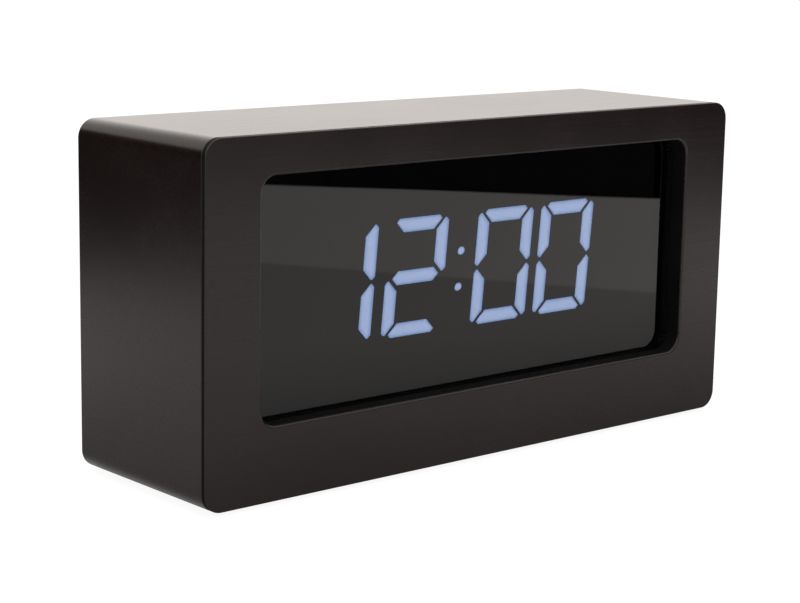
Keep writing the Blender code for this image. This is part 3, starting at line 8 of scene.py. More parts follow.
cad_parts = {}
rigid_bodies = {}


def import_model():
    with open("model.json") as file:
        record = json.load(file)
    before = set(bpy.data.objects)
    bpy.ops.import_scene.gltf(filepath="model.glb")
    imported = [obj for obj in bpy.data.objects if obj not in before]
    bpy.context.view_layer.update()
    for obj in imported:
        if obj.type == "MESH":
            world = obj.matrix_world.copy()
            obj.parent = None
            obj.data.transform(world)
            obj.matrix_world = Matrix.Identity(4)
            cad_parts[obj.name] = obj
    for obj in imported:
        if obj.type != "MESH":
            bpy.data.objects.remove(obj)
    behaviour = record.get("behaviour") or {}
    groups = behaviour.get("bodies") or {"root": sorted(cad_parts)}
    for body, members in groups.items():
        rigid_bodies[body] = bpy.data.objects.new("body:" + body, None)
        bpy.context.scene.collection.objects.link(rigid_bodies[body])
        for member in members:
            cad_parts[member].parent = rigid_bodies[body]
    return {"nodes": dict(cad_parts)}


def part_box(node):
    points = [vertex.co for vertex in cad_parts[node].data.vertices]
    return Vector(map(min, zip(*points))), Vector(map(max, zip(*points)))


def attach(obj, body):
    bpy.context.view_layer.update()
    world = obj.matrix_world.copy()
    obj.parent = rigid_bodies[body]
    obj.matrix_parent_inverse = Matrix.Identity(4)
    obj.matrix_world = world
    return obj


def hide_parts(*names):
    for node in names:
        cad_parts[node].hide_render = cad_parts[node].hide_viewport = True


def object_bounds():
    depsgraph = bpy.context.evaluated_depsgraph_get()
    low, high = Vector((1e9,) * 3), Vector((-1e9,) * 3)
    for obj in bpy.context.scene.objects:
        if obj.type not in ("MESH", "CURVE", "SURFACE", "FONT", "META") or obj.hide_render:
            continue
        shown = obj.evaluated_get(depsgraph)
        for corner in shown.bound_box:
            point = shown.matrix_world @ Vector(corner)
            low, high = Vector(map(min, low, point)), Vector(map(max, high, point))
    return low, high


mm = 0.001
planeSlack = 0.01 * mm  # how far a point may lie off a plane and still count as on it
weldReach = 0.001 * mm  # points that lie nearer together than this become one
overrun = 1.0 * mm  # how far a cutting tool reaches past what it cuts
parallel = 0.999  # the least cosine between two directions that count as the same
paints = {}  # every finish by its name

for thing in list(bpy.data.objects):
    bpy.data.objects.remove(thing, do_unlink=True)

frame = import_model()
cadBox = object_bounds()
caseLow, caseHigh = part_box("case_sleeve")
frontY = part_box("front_fascia")[0].y  # the clock's front face; depths below are counted back from it
print("frame loaded:", len(frame["nodes"]), "nodes")


# Modelling helpers

def boxOf(node):
    low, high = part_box(node)
    return low, high, (low + high) / 2


def onPlane(point, axis, place):
    # the point brought along one axis to a place on it
    spot = point.copy()
    spot[axis] = place
    return spot


def camelName(name):
    first, *others = name.split("_")
    return first + "".join(word.title() for word in others)


def dropChoice():
    bpy.ops.object.select_all(action="DESELECT")


def workOn(piece):
    dropChoice()
    piece.select_set(True)
    bpy.context.view_layer.objects.active = piece


def openEdit(piece):
    workOn(piece)
    bpy.ops.object.mode_set(mode="EDIT")
    bpy.ops.mesh.select_mode(type="FACE")
    bpy.ops.mesh.select_all(action="DESELECT")


def closeEdit():
    bpy.ops.object.mode_set(mode="OBJECT")
    dropChoice()


def pickWanted(piece, kind, wanted):
    bpy.ops.mesh.select_mode(type=kind)
    bpy.ops.mesh.select_all(action="DESELECT")
    shape = bmesh.from_edit_mesh(piece.data)
    for element in shape.faces if kind == "FACE" else shape.edges:
        if wanted(element):
            element.select_set(True)
    bmesh.update_edit_mesh(piece.data)


def pickFaces(piece, wanted):
    pickWanted(piece, "FACE", wanted)


def pickEdges(piece, wanted):
    pickWanted(piece, "EDGE", wanted)


def facing(direction, nearness=parallel):
    way = Vector(direction)
    return lambda face: face.normal.dot(way) > nearness


def runsAlong(direction):
    way = Vector(direction)

    def test(edge):
        run = edge.verts[1].co - edge.verts[0].co
        return run.length > 0 and abs(run.normalized().dot(way)) > parallel

    return test


def isWall(face):
    # true for a face that stands square to the clock's front
    return abs(face.normal.y) < 0.1


def middleOf(edge):
    return (edge.verts[0].co + edge.verts[1].co) / 2


def inPlane(axis, place):
    return lambda element: all(abs(vert.co[axis] - place) < planeSlack for vert in element.verts)


def bevelPicked(width, steps):
    bpy.ops.mesh.bevel(
        offset=width, offset_type="OFFSET", segments=steps, profile=0.5, affect="EDGES", clamp_overlap=True
    )


def insetPicked(width, depth=0.0):
    bpy.ops.mesh.inset(thickness=width, depth=depth, use_even_offset=True)


def pushPicked(move):
    bpy.ops.mesh.extrude_region_move(TRANSFORM_OT_translate={"value": move})


def addBlock(name, low, high):
    dropChoice()
    bpy.ops.mesh.primitive_cube_add(size=1, location=(low + high) / 2)
    block = bpy.context.object
    block.name = name
    block.scale = high - low
    bpy.ops.object.transform_apply(location=True, rotation=True, scale=True)
    return block


def addRod(name, start, end, radius, sides=48):
    dropChoice()
    turn = (end - start).to_track_quat("Z", "Y").to_euler()
    bpy.ops.mesh.primitive_cylinder_add(
        vertices=sides, radius=radius, depth=(end - start).length, location=(start + end) / 2, rotation=turn
    )
    rod = bpy.context.object
    rod.name = name
    bpy.ops.object.transform_apply(location=True, rotation=True, scale=True)
    return rod


def addPlate(name, low, high, radius, steps=14):
    # a block whose corners are rounded as seen from the front
    plate = addBlock(name, low, high)
    openEdit(plate)
    pickEdges(plate, runsAlong((0, 1, 0)))
    bevelPicked(radius, steps)
    closeEdit()
    return plate


def joinOnto(piece, others):
    dropChoice()
    for other in others:
        other.select_set(True)
    piece.select_set(True)
    bpy.context.view_layer.objects.active = piece
    bpy.ops.object.join()


def combine(piece, tools, how):
    joinOnto(tools[0], tools[1:])
    change = piece.modifiers.new("combine", "BOOLEAN")
    change.operation = how
    change.solver = "MANIFOLD"
    change.object = tools[0]
    workOn(piece)
    bpy.ops.object.modifier_apply(modifier=change.name)
    bpy.data.objects.remove(tools[0], do_unlink=True)


def smoothen(piece, bend=35.0):
    # smooth shading that breaks at edges sharper than the bend, in degrees
    workOn(piece)
    bpy.ops.object.shade_smooth_by_angle(angle=math.radians(bend))
    even = piece.modifiers.new("even", "WEIGHTED_NORMAL")  # keeps the flats flat beside their rounded edges
    even.keep_sharp = True
    bpy.ops.object.modifier_apply(modifier=even.name)
    dropChoice()


def copyOf(source, name, move=(0, 0, 0)):
    twin = source.copy()
    twin.data = source.data.copy()
    twin.name = name
    twin.parent = None
    for key in list(twin.keys()):
        del twin[key]
    bpy.context.scene.collection.objects.link(twin)
    twin.data.transform(Matrix.Translation(move))
    return twin


def copyNode(node, name=None):
    # a CAD node's shape as one closed mesh, so that its rounds can be shaded smoothly
    twin = copyOf(frame["nodes"][node], name or camelName(node))
    twin.hide_render = twin.hide_viewport = False
    openEdit(twin)
    bpy.ops.mesh.select_all(action="SELECT")
    bpy.ops.mesh.customdata_custom_splitnormals_clear()
    bpy.ops.mesh.remove_doubles(threshold=weldReach)
    bpy.ops.mesh.dissolve_limited(angle_limit=math.radians(0.5))
    closeEdit()
    smoothen(twin)
    return twin


def settle(piece, body, paint, slot, *nodes):
    # gives a finished piece its paint and body, and hides the CAD nodes that it stands in for
    if paint:
        piece.data.materials.clear()
        piece.data.materials.append(paints[paint])
    piece.data.name = piece.name
    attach(piece, body)
    if nodes:
        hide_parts(*nodes)


# Shared shader groups

def startGroup(name, numbers, outputs):
    group = bpy.data.node_groups.new(name, "ShaderNodeTree")
    for label, value in numbers.items():
        socket = group.interface.new_socket(name=label, in_out="INPUT", socket_type="NodeSocketFloat")
        socket.default_value = value
    for label in outputs:
        group.interface.new_socket(name=label, in_out="OUTPUT", socket_type="NodeSocketFloat")
    given = group.nodes.new("NodeGroupInput")
    result = group.nodes.new("NodeGroupOutput")
    where = group.nodes.new("ShaderNodeTexCoord")
    return group, given, result, where.outputs["Object"]


def addNoise(tree, vector, scale, detail, roughness=0.5):
    noise = tree.nodes.new("ShaderNodeTexNoise")
    noise.inputs["Detail"].default_value = detail
    noise.inputs["Roughness"].default_value = roughness
    if vector is not None:
        tree.links.new(vector, noise.inputs["Vector"])
    if isinstance(scale, bpy.types.NodeSocket):
        tree.links.new(scale, noise.inputs["Scale"])
    else:
        noise.inputs["Scale"].default_value = scale
    return noise.outputs["Fac"]


def addMath(tree, operation, first, second=0.0, clamp=False):
    node = tree.nodes.new("ShaderNodeMath")
    node.operation = operation
    node.use_clamp = clamp
    for socket, value in zip(node.inputs, (first, second)):
        if isinstance(value, bpy.types.NodeSocket):
            tree.links.new(value, socket)
        else:
            socket.default_value = value
    return node.outputs[0]


def addProduct(tree, *factors):
    product = factors[0]
    for factor in factors[1:]:
        product = addMath(tree, "MULTIPLY", product, factor)
    return product


def addBlend(tree, first, second, share=0.5):
    return addMath(tree, "ADD", addProduct(tree, first, share), addProduct(tree, second, 1 - share))


def addRange(tree, value, fromLow, fromHigh, toLow=0.0, toHigh=1.0):
    node = tree.nodes.new("ShaderNodeMapRange")
    node.interpolation_type = "SMOOTHSTEP"
    tree.links.new(value, node.inputs["Value"])
    limits = {"From Min": fromLow, "From Max": fromHigh, "To Min": toLow, "To Max": toHigh}
    for label, number in limits.items():
        node.inputs[label].default_value = number
    return node.outputs["Result"]


def addMix(tree, share, first, second):
    node = tree.nodes.new("ShaderNodeMix")
    node.data_type = "RGBA"
    tree.links.new(share, node.inputs["Factor"])
    colours = [socket for socket in node.inputs if socket.type == "RGBA"]
    for socket, value in zip(colours, (first, second)):
        if isinstance(value, bpy.types.NodeSocket):
            tree.links.new(value, socket)
        else:
            socket.default_value = (*value, 1)
    return [socket for socket in node.outputs if socket.type == "RGBA"][0]


def makeSkinGroup():
    # the fine grain and the broad cloudiness of a moulded surface
    numbers = {"Grain Scale": 4000.0, "Cloud Scale": 40.0}
    group, given, result, where = startGroup("mouldedSkin", numbers, ("Grain", "Cloud"))
    group.links.new(addNoise(group, where, given.outputs["Grain Scale"], 2.0), result.inputs["Grain"])
    cloud = addNoise(group, where, given.outputs["Cloud Scale"], 3.0, 0.6)
    group.links.new(addRange(group, cloud, 0.3, 0.7), result.inputs["Cloud"])
    return group


def makeStreakGroup():
    # fine lines along X, as on a satin film drawn over the case
    numbers = {"Across": 2500.0, "Along": 18.0}
    group, given, result, where = startGroup("drawnStreaks", numbers, ("Streak",))
    stretch = group.nodes.new("ShaderNodeCombineXYZ")
    group.links.new(given.outputs["Along"], stretch.inputs["X"])
    group.links.new(given.outputs["Across"], stretch.inputs["Y"])
    group.links.new(given.outputs["Across"], stretch.inputs["Z"])
    pull = group.nodes.new("ShaderNodeVectorMath")
    pull.operation = "MULTIPLY"
    group.links.new(where, pull.inputs[0])
    group.links.new(stretch.outputs[0], pull.inputs[1])
    streak = addNoise(group, pull.outputs[0], 1.0, 3.0, 0.55)
    group.links.new(addRange(group, streak, 0.25, 0.75), result.inputs["Streak"])
    return group


def makeDustGroup():
    # sparse specks that lie on what faces up
    numbers = {"Speck Scale": 900.0, "Amount": 1.0}
    group, given, result, where = startGroup("restingDust", numbers, ("Dust",))
    cells = group.nodes.new("ShaderNodeTexVoronoi")
    group.links.new(where, cells.inputs["Vector"])
    group.links.new(given.outputs["Speck Scale"], cells.inputs["Scale"])
    spot = addRange(group, cells.outputs["Distance"], 0.02, 0.11, 1.0, 0.0)
    patch = addRange(group, addNoise(group, where, 60.0, 2.0), 0.45, 0.65)
    surface = group.nodes.new("ShaderNodeNewGeometry")
    split = group.nodes.new("ShaderNodeSeparateXYZ")
    group.links.new(surface.outputs["Normal"], split.inputs[0])
    up = addRange(group, split.outputs["Z"], 0.4, 0.9)
    dust = addProduct(group, spot, patch, up, given.outputs["Amount"])
    group.links.new(dust, result.inputs["Dust"])
    return group


def makeRimGroup():
    # a mask of the sharper outer edges, where a finish wears first
    numbers = {"Start": 0.52, "Amount": 1.0}
    group, given, result, where = startGroup("rimWear", numbers, ("Rim",))
    surface = group.nodes.new("ShaderNodeNewGeometry")
    above = addMath(group, "SUBTRACT", surface.outputs["Pointiness"], given.outputs["Start"], True)
    breakUp = addRange(group, addNoise(group, where, 300.0, 4.0, 0.6), 0.35, 0.65, 0.2, 1.0)
    sharp = addMath(group, "MULTIPLY", above, 10.0, True)
    rim = addProduct(group, sharp, breakUp, given.outputs["Amount"])
    group.links.new(rim, result.inputs["Rim"])
    return group


skinGroup = makeSkinGroup()
streakGroup = makeStreakGroup()
dustGroup = makeDustGroup()
rimGroup = makeRimGroup()


def place(tree, group, **numbers):
    node = tree.nodes.new("ShaderNodeGroup")
    node.node_tree = group
    for label, value in numbers.items():
        node.inputs[label.replace("_", " ")].default_value = value
    return node.outputs


def startMaterial(name, settings):
    material = bpy.data.materials.new(name)
    material.use_nodes = True
    shader = material.node_tree.nodes["Principled BSDF"]
    for label, value in settings.items():
        shader.inputs[label].default_value = value
    return material, material.node_tree, shader


def addBump(tree, shader, height, strength, distance):
    bump = tree.nodes.new("ShaderNodeBump")
    bump.inputs["Strength"].default_value = strength
    bump.inputs["Distance"].default_value = distance
    tree.links.new(height, bump.inputs["Height"])
    tree.links.new(bump.outputs["Normal"], shader.inputs["Normal"])


fineBump = 0.01 * mm
dustColour = (0.25, 0.24, 0.23)


def placeSkin(tree, finish):
    return place(tree, skinGroup, Grain_Scale=finish["grainScale"], Cloud_Scale=finish["cloudScale"])


def placeStreak(tree, finish):
    return place(tree, streakGroup, Across=finish["streakAcross"], Along=finish["streakAlong"])["Streak"]


def setWornColour(tree, shader, skin, finish):
    # the cloudy colour, rubbed along the rims, with dust on what faces up
    dust = place(tree, dustGroup, Amount=finish["dust"])["Dust"]
    rim = place(tree, rimGroup, Amount=finish["rim"])["Rim"]
    colour = addMix(tree, skin["Cloud"], finish["dark"], finish["light"])
    colour = addMix(tree, rim, colour, finish["worn"])
    tree.links.new(addMix(tree, dust, colour, dustColour), shader.inputs["Base Color"])


def setRoughness(tree, shader, share, limits, low=0.0, high=1.0):
    tree.links.new(addRange(tree, share, low, high, *limits), shader.inputs["Roughness"])


def paintSatin(name, finish):
    # satin black case finish: faint drawn lines, cloudy gloss, a little rubbed light on its edges
    sockets = {"IOR": finish["ior"], "Coat Roughness": finish["coatRoughness"]}
    material, tree, shader = startMaterial(name, sockets)
    slant = tree.nodes.new("ShaderNodeLayerWeight")
    glance = addRange(tree, slant.outputs["Facing"], *finish["coatFacing"])
    tree.links.new(glance, shader.inputs["Coat Weight"])  # the lacquer only tells at a glancing view
    skin = placeSkin(tree, finish)
    streak = placeStreak(tree, finish)
    setWornColour(tree, shader, skin, finish)
    gloss = addBlend(tree, streak, skin["Cloud"], finish["streakShare"])
    setRoughness(tree, shader, gloss, finish["rough"])
    addBump(tree, shader, addMath(tree, "ADD", streak, skin["Grain"]), finish["bump"], fineBump)
    return material


def paintMoulded(name, finish):
    # plain moulded plastic or rubber with a spark-eroded grain
    material, tree, shader = startMaterial(name, finish.get("sockets", {}))
    skin = placeSkin(tree, finish)
    setWornColour(tree, shader, skin, finish)
    setRoughness(tree, shader, addBlend(tree, skin["Grain"], skin["Cloud"]), finish["rough"], 0.2, 0.8)
    addBump(tree, shader, skin["Grain"], finish["bump"], finish["bumpDistance"])
    return material


def paintMetal(name, finish):
    # bare metal with lines from drawing or rolling, and a cloudy bloom
    material, tree, shader = startMaterial(name, {"Metallic": 1.0})
    skin = placeSkin(tree, finish)
    streak = placeStreak(tree, finish)
    colour = addMix(tree, skin["Cloud"], finish["dark"], finish["light"])
    tree.links.new(colour, shader.inputs["Base Color"])
    setRoughness(tree, shader, addBlend(tree, streak, skin["Cloud"]), finish["rough"], 0.1, 0.9)
    addBump(tree, shader, addMath(tree, "ADD", streak, skin["Grain"]), finish["bump"], fineBump)
    return material


def grey(level):
    return (level, level, level)


satinFinish = {
    "dark": (0.0082, 0.0044, 0.004), "light": (0.0108, 0.0062, 0.0057), "worn": (0.03, 0.028, 0.026),
    "ior": 1.5, "coatFacing": (0.52, 0.79), "coatRoughness": 0.3, "rough": (0.235, 0.285), "streakShare": 0.6,
    "grainScale": 6000.0, "cloudScale": 35.0, "streakAcross": 2600.0, "streakAlong": 22.0,
    "bump": 0.024, "dust": 0.06, "rim": 0.2,
}
plasticFinish = {
    "dark": grey(0.011), "light": grey(0.017), "worn": grey(0.05), "rough": (0.42, 0.6), "grainScale": 2600.0,
    "cloudScale": 45.0, "bump": 0.35, "bumpDistance": 0.03 * mm, "dust": 0.0, "rim": 0.35,
}
metalFinish = {
    "dark": (0.42, 0.42, 0.41), "light": (0.56, 0.56, 0.55), "rough": (0.2, 0.36), "grainScale": 3000.0,
    "cloudScale": 120.0, "streakAcross": 6000.0, "streakAlong": 200.0, "bump": 0.15,
}

# each paint's own values, over those of the finish that it starts from
satinPaints = {
    "caseSatin": {},
    "frontSatin": {"cloudScale": 28.0, "bump": 0.016, "dust": 0.0},
}
mouldedPaints = {
    "coverPlastic": {"dust": 0.3},
    "buttonPlastic": {
        "dark": (0.014, 0.014, 0.015), "light": (0.02, 0.02, 0.021), "rough": (0.3, 0.42), "bump": 0.12,
        "dust": 0.3,
    },
    "partBlack": {"rough": (0.35, 0.5), "grainScale": 5000.0, "bump": 0.2},
    # near-black with little gloss: the segment mask's own black, and painted shade on the frame's window walls and
    # rim side
    "recessBlack": {
        "dark": grey(0.003), "light": grey(0.005), "worn": grey(0.01), "rough": (0.55, 0.75), "rim": 0.0,
        "sockets": {"Specular IOR Level": 0.12},
    },
    "gasketFoam": {
        "dark": grey(0.004), "light": grey(0.009), "rough": (0.85, 0.98), "grainScale": 1800.0, "bump": 0.8,
        "bumpDistance": 0.1 * mm, "rim": 0.0,
    },
    "footRubber": {
        "dark": grey(0.008), "light": grey(0.014), "rough": (0.75, 0.92), "grainScale": 1500.0, "bump": 0.5,
        "bumpDistance": 0.04 * mm,
    },
    "guideMilky": {
        "dark": (0.42, 0.46, 0.56), "light": (0.5, 0.54, 0.64), "worn": (0.6, 0.62, 0.7), "rough": (0.25, 0.4),
        "sockets": {"Subsurface Weight": 0.2, "Subsurface Scale": 0.001},
    },
    "guideFace": {
        "dark": (0.02, 0.022, 0.026), "light": (0.026, 0.028, 0.033), "worn": grey(0.03), "rough": (0.25, 0.4),
        "rim": 0.0,
    },
    "reflectorWhite": {
        "dark": (0.7, 0.7, 0.69), "light": (0.78, 0.78, 0.77), "worn": grey(0.82), "rough": (0.35, 0.5),
    },
    "wireRed": {
        "dark": (0.36, 0.012, 0.01), "light": (0.48, 0.02, 0.015), "worn": (0.55, 0.1, 0.08),
        "rough": (0.3, 0.45), "bump": 0.15,
    },
    "wireBlack": {"dark": grey(0.008), "light": grey(0.013), "rough": (0.3, 0.45), "bump": 0.15},
    "legendInk": {
        "dark": (0.55, 0.55, 0.54), "light": (0.66, 0.66, 0.65), "worn": grey(0.5), "rough": (0.5, 0.65),
        "bump": 0.2, "bumpDistance": fineBump, "rim": 0.0,
    },
}
metalPaints = {
    "screwSteel": {},
    "contactNickel": {"dark": (0.55, 0.53, 0.49), "light": (0.68, 0.66, 0.61), "rough": (0.14, 0.3)},
    "canMetal": {"dark": grey(0.6), "light": grey(0.72)},
}
for makePaint, finish, family in (
    (paintSatin, satinFinish, satinPaints),
    (paintMoulded, plasticFinish, mouldedPaints),
    (paintMetal, metalFinish, metalPaints),
):
    for name, own in family.items():
        paints[name] = makePaint(name, {**finish, **own})


def paintLens():
    # smoked acrylic: mirror-smooth, with hardly visible wipe marks
    material, tree, shader = startMaterial("lensSmoke", {
        "Base Color": (0.03, 0.031, 0.034, 1), "Transmission Weight": 1.0, "IOR": 1.49,
    })
    skin = place(tree, skinGroup, Grain_Scale=500.0, Cloud_Scale=25.0)
    setRoughness(tree, shader, skin["Cloud"], (0.0, 0.012))
    return material


def paintGlow(name, edge, core, strength):
    # a lit light guide, palest along the middle of each bar
    material, tree, shader = startMaterial(name, {
        "Base Color": (0.02, 0.022, 0.03, 1), "Roughness": 0.5, "Emission Strength": strength,
    })
    middle = tree.nodes.new("ShaderNodeAttribute")
    middle.attribute_name = "glow"
    skin = place(tree, skinGroup, Grain_Scale=1500.0, Cloud_Scale=260.0)
    patchy = addMath(tree, "ADD", middle.outputs["Fac"], addProduct(tree, skin["Cloud"], 0.12))
    share = addRange(tree, patchy, 0.0, 1.05)
    tree.links.new(addMix(tree, share, edge, core), shader.inputs["Emission Color"])
    return material


def paintBoard():
    # solder mask over copper: darker lanes, tinned pads
    material, tree, shader = startMaterial("boardGreen", {"Coat Weight": 0.4, "Coat Roughness": 0.15})
    coordinates = tree.nodes.new("ShaderNodeTexCoord")
    turn = tree.nodes.new("ShaderNodeMapping")
    turn.inputs["Rotation"].default_value = (math.radians(90), 0, 0)
    tree.links.new(coordinates.outputs["Object"], turn.inputs["Vector"])
    lanes = tree.nodes.new("ShaderNodeTexBrick")
    lanes.inputs["Scale"].default_value = 160.0
    lanes.inputs["Mortar Size"].default_value = 0.035
    lanes.inputs["Brick Width"].default_value = 1.1
    lanes.inputs["Row Height"].default_value = 0.22
    tree.links.new(turn.outputs["Vector"], lanes.inputs["Vector"])
    pads = tree.nodes.new("ShaderNodeTexVoronoi")
    pads.inputs["Scale"].default_value = 260.0
    pads.inputs["Randomness"].default_value = 0.35
    tree.links.new(coordinates.outputs["Object"], pads.inputs["Vector"])
    pad = addRange(tree, pads.outputs["Distance"], 0.13, 0.16, 1.0, 0.0)
    skin = place(tree, skinGroup, Grain_Scale=3000.0, Cloud_Scale=60.0)
    pad = addProduct(tree, pad, addRange(tree, skin["Cloud"], 0.6, 0.7))
    green = addMix(tree, lanes.outputs["Fac"], (0.01, 0.075, 0.03), (0.015, 0.12, 0.05))
    tree.links.new(addMix(tree, pad, green, (0.6, 0.58, 0.52)), shader.inputs["Base Color"])
    tree.links.new(pad, shader.inputs["Metallic"])
    setRoughness(tree, shader, skin["Cloud"], (0.3, 0.45))
    addBump(tree, shader, lanes.outputs["Fac"], 0.3, 0.03 * mm)
    return material


def paintRibbon():
    # grey ribbon of parallel leads
    material, tree, shader = startMaterial("ribbonGrey", {})
    coordinates = tree.nodes.new("ShaderNodeTexCoord")
    leads = tree.nodes.new("ShaderNodeTexWave")
    leads.inputs["Scale"].default_value = 250.0
    tree.links.new(coordinates.outputs["Object"], leads.inputs["Vector"])
    skin = place(tree, skinGroup, Grain_Scale=3000.0, Cloud_Scale=150.0)
    colour = addMix(tree, leads.outputs["Fac"], (0.2, 0.2, 0.21), (0.36, 0.36, 0.37))
    tree.links.new(colour, shader.inputs["Base Color"])
    setRoughness(tree, shader, skin["Cloud"], (0.4, 0.55))
    addBump(tree, shader, leads.outputs["Fac"], 0.6, 0.1 * mm)
    return material


def paintCell(name, dark, light, metallic):
    # printed foil, plain, with the faint scuffs of a used cell
    sockets = {"Metallic": metallic, "Coat Weight": 0.5, "Coat Roughness": 0.12}
    material, tree, shader = startMaterial(name, sockets)
    skin = place(tree, skinGroup, Grain_Scale=1500.0, Cloud_Scale=90.0)
    streak = place(tree, streakGroup, Across=1500.0, Along=60.0)["Streak"]
    tree.links.new(addMix(tree, skin["Cloud"], dark, light), shader.inputs["Base Color"])
    setRoughness(tree, shader, streak, (0.27, 0.33))
    addBump(tree, shader, skin["Grain"], 0.15, fineBump)
    return material


paints["lensSmoke"] = paintLens()
paints["guideLit"] = paintGlow("guideLit", (0.19, 0.295, 0.52), (0.4, 0.5, 0.71), 27.0)
paints["boardGreen"] = paintBoard()
paints["ribbonGrey"] = paintRibbon()
paints["cellJacket"] = paintCell("cellJacket", (0.03, 0.06, 0.11), (0.045, 0.085, 0.15), 0.35)
paints["cellBand"] = paintCell("cellBand", grey(0.62), grey(0.72), 0.9)
print("materials ready")


# Case shell

footNodes = ("rubber_foot_front_left", "rubber_foot_front_right", "rubber_foot_rear_left", "rubber_foot_rear_right")
shellSizes = {
    "cornerRadius": 4.0 * mm, "wall": 2.5 * mm, "rearWall": 1.5 * mm, "rearLip": 4.3 * mm, "lipWeld": 0.02 * mm,
    "rearEase": 0.5 * mm, "seamEase": 0.2 * mm, "easeSteps": 4, "pocketDepth": 1.0 * mm, "pocketRoom": 0.3 * mm,
}


def outerRim(depth):
    # the edges at this depth whose wall looks away from the middle of the case
    middle = (caseLow + caseHigh) / 2

    def test(edge):
        walls = [face for face in edge.link_faces if isWall(face)]
        outward = any(face.normal.dot(face.calc_center_median() - middle) > 0 for face in walls)
        return outward and inPlane(1, depth)(edge)

    return test


def buildShell(sizes):
    shell = addPlate("caseShell", caseLow, caseHigh, sizes["cornerRadius"])
    openEdit(shell)
    pickFaces(shell, facing((0, 1, 0)))
    insetPicked(sizes["rearWall"])
    pushPicked((0, -sizes["rearLip"], 0))
    insetPicked(sizes["wall"] - sizes["rearWall"])
    pushPicked((0, sizes["rearLip"] - (caseHigh.y - caseLow.y), 0))
    bpy.ops.mesh.delete(type="FACE")
    pickFaces(shell, facing((0, -1, 0)))
    insetPicked(sizes["wall"])
    bpy.ops.mesh.delete(type="FACE")
    bpy.ops.mesh.select_all(action="SELECT")
    bpy.ops.mesh.remove_doubles(threshold=sizes["lipWeld"])
    for depth, width in ((caseHigh.y, sizes["rearEase"]), (caseLow.y, sizes["seamEase"])):
        pickEdges(shell, outerRim(depth))
        bevelPicked(width, sizes["easeSteps"])
    closeEdit()
    pockets = []
    for node in footNodes:
        low, high, middle = boxOf(node)
        start = onPlane(middle, 2, low.z - overrun)
        end = onPlane(middle, 2, caseLow.z + sizes["pocketDepth"])
        pockets.append(addRod("pocket", start, end, (high.x - low.x) / 2 + sizes["pocketRoom"]))
    combine(shell, pockets, "DIFFERENCE")
    smoothen(shell)
    settle(shell, "case", "caseSatin", "case_black", "case_sleeve")


# Front frame around the window

frameSizes = {
    "cornerRadius": 4.0 * mm, "rim": 1.0 * mm, "rimEase": 0.28 * mm, "seat": 2.8 * mm, "plate": 2.0 * mm,
    "spigotWall": 1.6 * mm, "spigotEnd": 6.0 * mm, "windowSide": 13.75 * mm, "windowTop": 8.2 * mm,
    "windowBottom": 15.8 * mm, "windowRadius": 4.0 * mm, "windowEase": 0.6 * mm, "windowRing": 1.0 * mm,
    "skirtWall": 1.4 * mm, "skirtEnd": 3.75 * mm, "easeSteps": 6,
}


def windowBox(sizes, room, front, back):
    # the window's outline with room around it, between two depths behind the front face
    side = sizes["windowSide"] - room
    low = Vector((caseLow.x + side, frontY + front, caseLow.z + sizes["windowBottom"] - room))
    high = Vector((caseHigh.x - side, frontY + back, caseHigh.z - sizes["windowTop"] + room))
    return low, high


def inWindow(spot, sizes):
    low, high = windowBox(sizes, sizes["windowRing"], 0, 0)
    return low.x < spot.x < high.x and low.z < spot.z < high.z


def openRimAt(depth):
    # the open edges that lie at this depth behind the front face
    return lambda edge: edge.is_boundary and inPlane(1, frontY + depth)(edge)


def frontRim(window, sizes):
    # the front face's edges around the window, or its outer ones
    def test(edge):
        onRim = inPlane(1, frontY)(edge) and any(isWall(face) for face in edge.link_faces)
        return onRim and inWindow(middleOf(edge), sizes) == window

    return test


def buildRing(sizes):
    # the outer ring: rim, seat against the sleeve and the spigot behind it, open towards the window
    low, high = onPlane(caseLow, 1, frontY), onPlane(caseHigh, 1, frontY + sizes["rim"])
    ring = addPlate("frontFrame", low, high, sizes["cornerRadius"])
    openEdit(ring)
    pickFaces(ring, facing((0, -1, 0)))
    bpy.ops.mesh.delete(type="FACE")
    pickFaces(ring, facing((0, 1, 0)))
    insetPicked(sizes["seat"])
    pushPicked((0, sizes["plate"] - sizes["rim"], 0))
    pushPicked((0, sizes["spigotEnd"] - sizes["plate"], 0))
    insetPicked(sizes["spigotWall"])
    pushPicked((0, sizes["plate"] - sizes["spigotEnd"], 0))
    bpy.ops.mesh.delete(type="FACE")
    closeEdit()
    return ring


def buildSkirt(sizes):
    # the window's own wall, open at the front and where it meets the plate
    wall = sizes["skirtWall"]
    low, high = windowBox(sizes, wall, sizes["plate"], sizes["skirtEnd"])
    skirt = addPlate("skirt", low, high, sizes["windowRadius"] + wall)
    openEdit(skirt)
    pickFaces(skirt, facing((0, -1, 0)))
    bpy.ops.mesh.delete(type="FACE")
    pickFaces(skirt, facing((0, 1, 0)))
    insetPicked(wall)
    pushPicked((0, -sizes["skirtEnd"], 0))
    bpy.ops.mesh.delete(type="FACE")
    closeEdit()
    return skirt


def buildFrame(sizes):
    front = buildRing(sizes)
    joinOnto(front, [buildSkirt(sizes)])
    openEdit(front)
    for depth in (0, sizes["plate"]):
        pickEdges(front, openRimAt(depth))
        bpy.ops.mesh.bridge_edge_loops()
    for window, ease in ((True, "windowEase"), (False, "rimEase")):
        pickEdges(front, frontRim(window, sizes))
        bevelPicked(sizes[ease], sizes["easeSteps"])
    closeEdit()
    smoothen(front)
    settle(front, "case", "frontSatin", "fascia_black", "front_fascia")
    # behind their rounded edges the window's walls and the rim's side in the shadow gap round the frame get a
    # near-black paint: painted shade of the recess and of the gap
    front.data.materials.append(paints["recessBlack"])
    for face in front.data.polygons:
        ease = "windowEase" if inWindow(face.center, sizes) else "rimEase"
        if face.center.y > frontY + sizes[ease] and isWall(face):
            face.material_index = 1


# Lens pane

lensSizes = {"front": 4.1 * mm, "thickness": 2.0 * mm, "room": 0.02 * mm, "ease": 0.1 * mm, "easeSteps": 2}


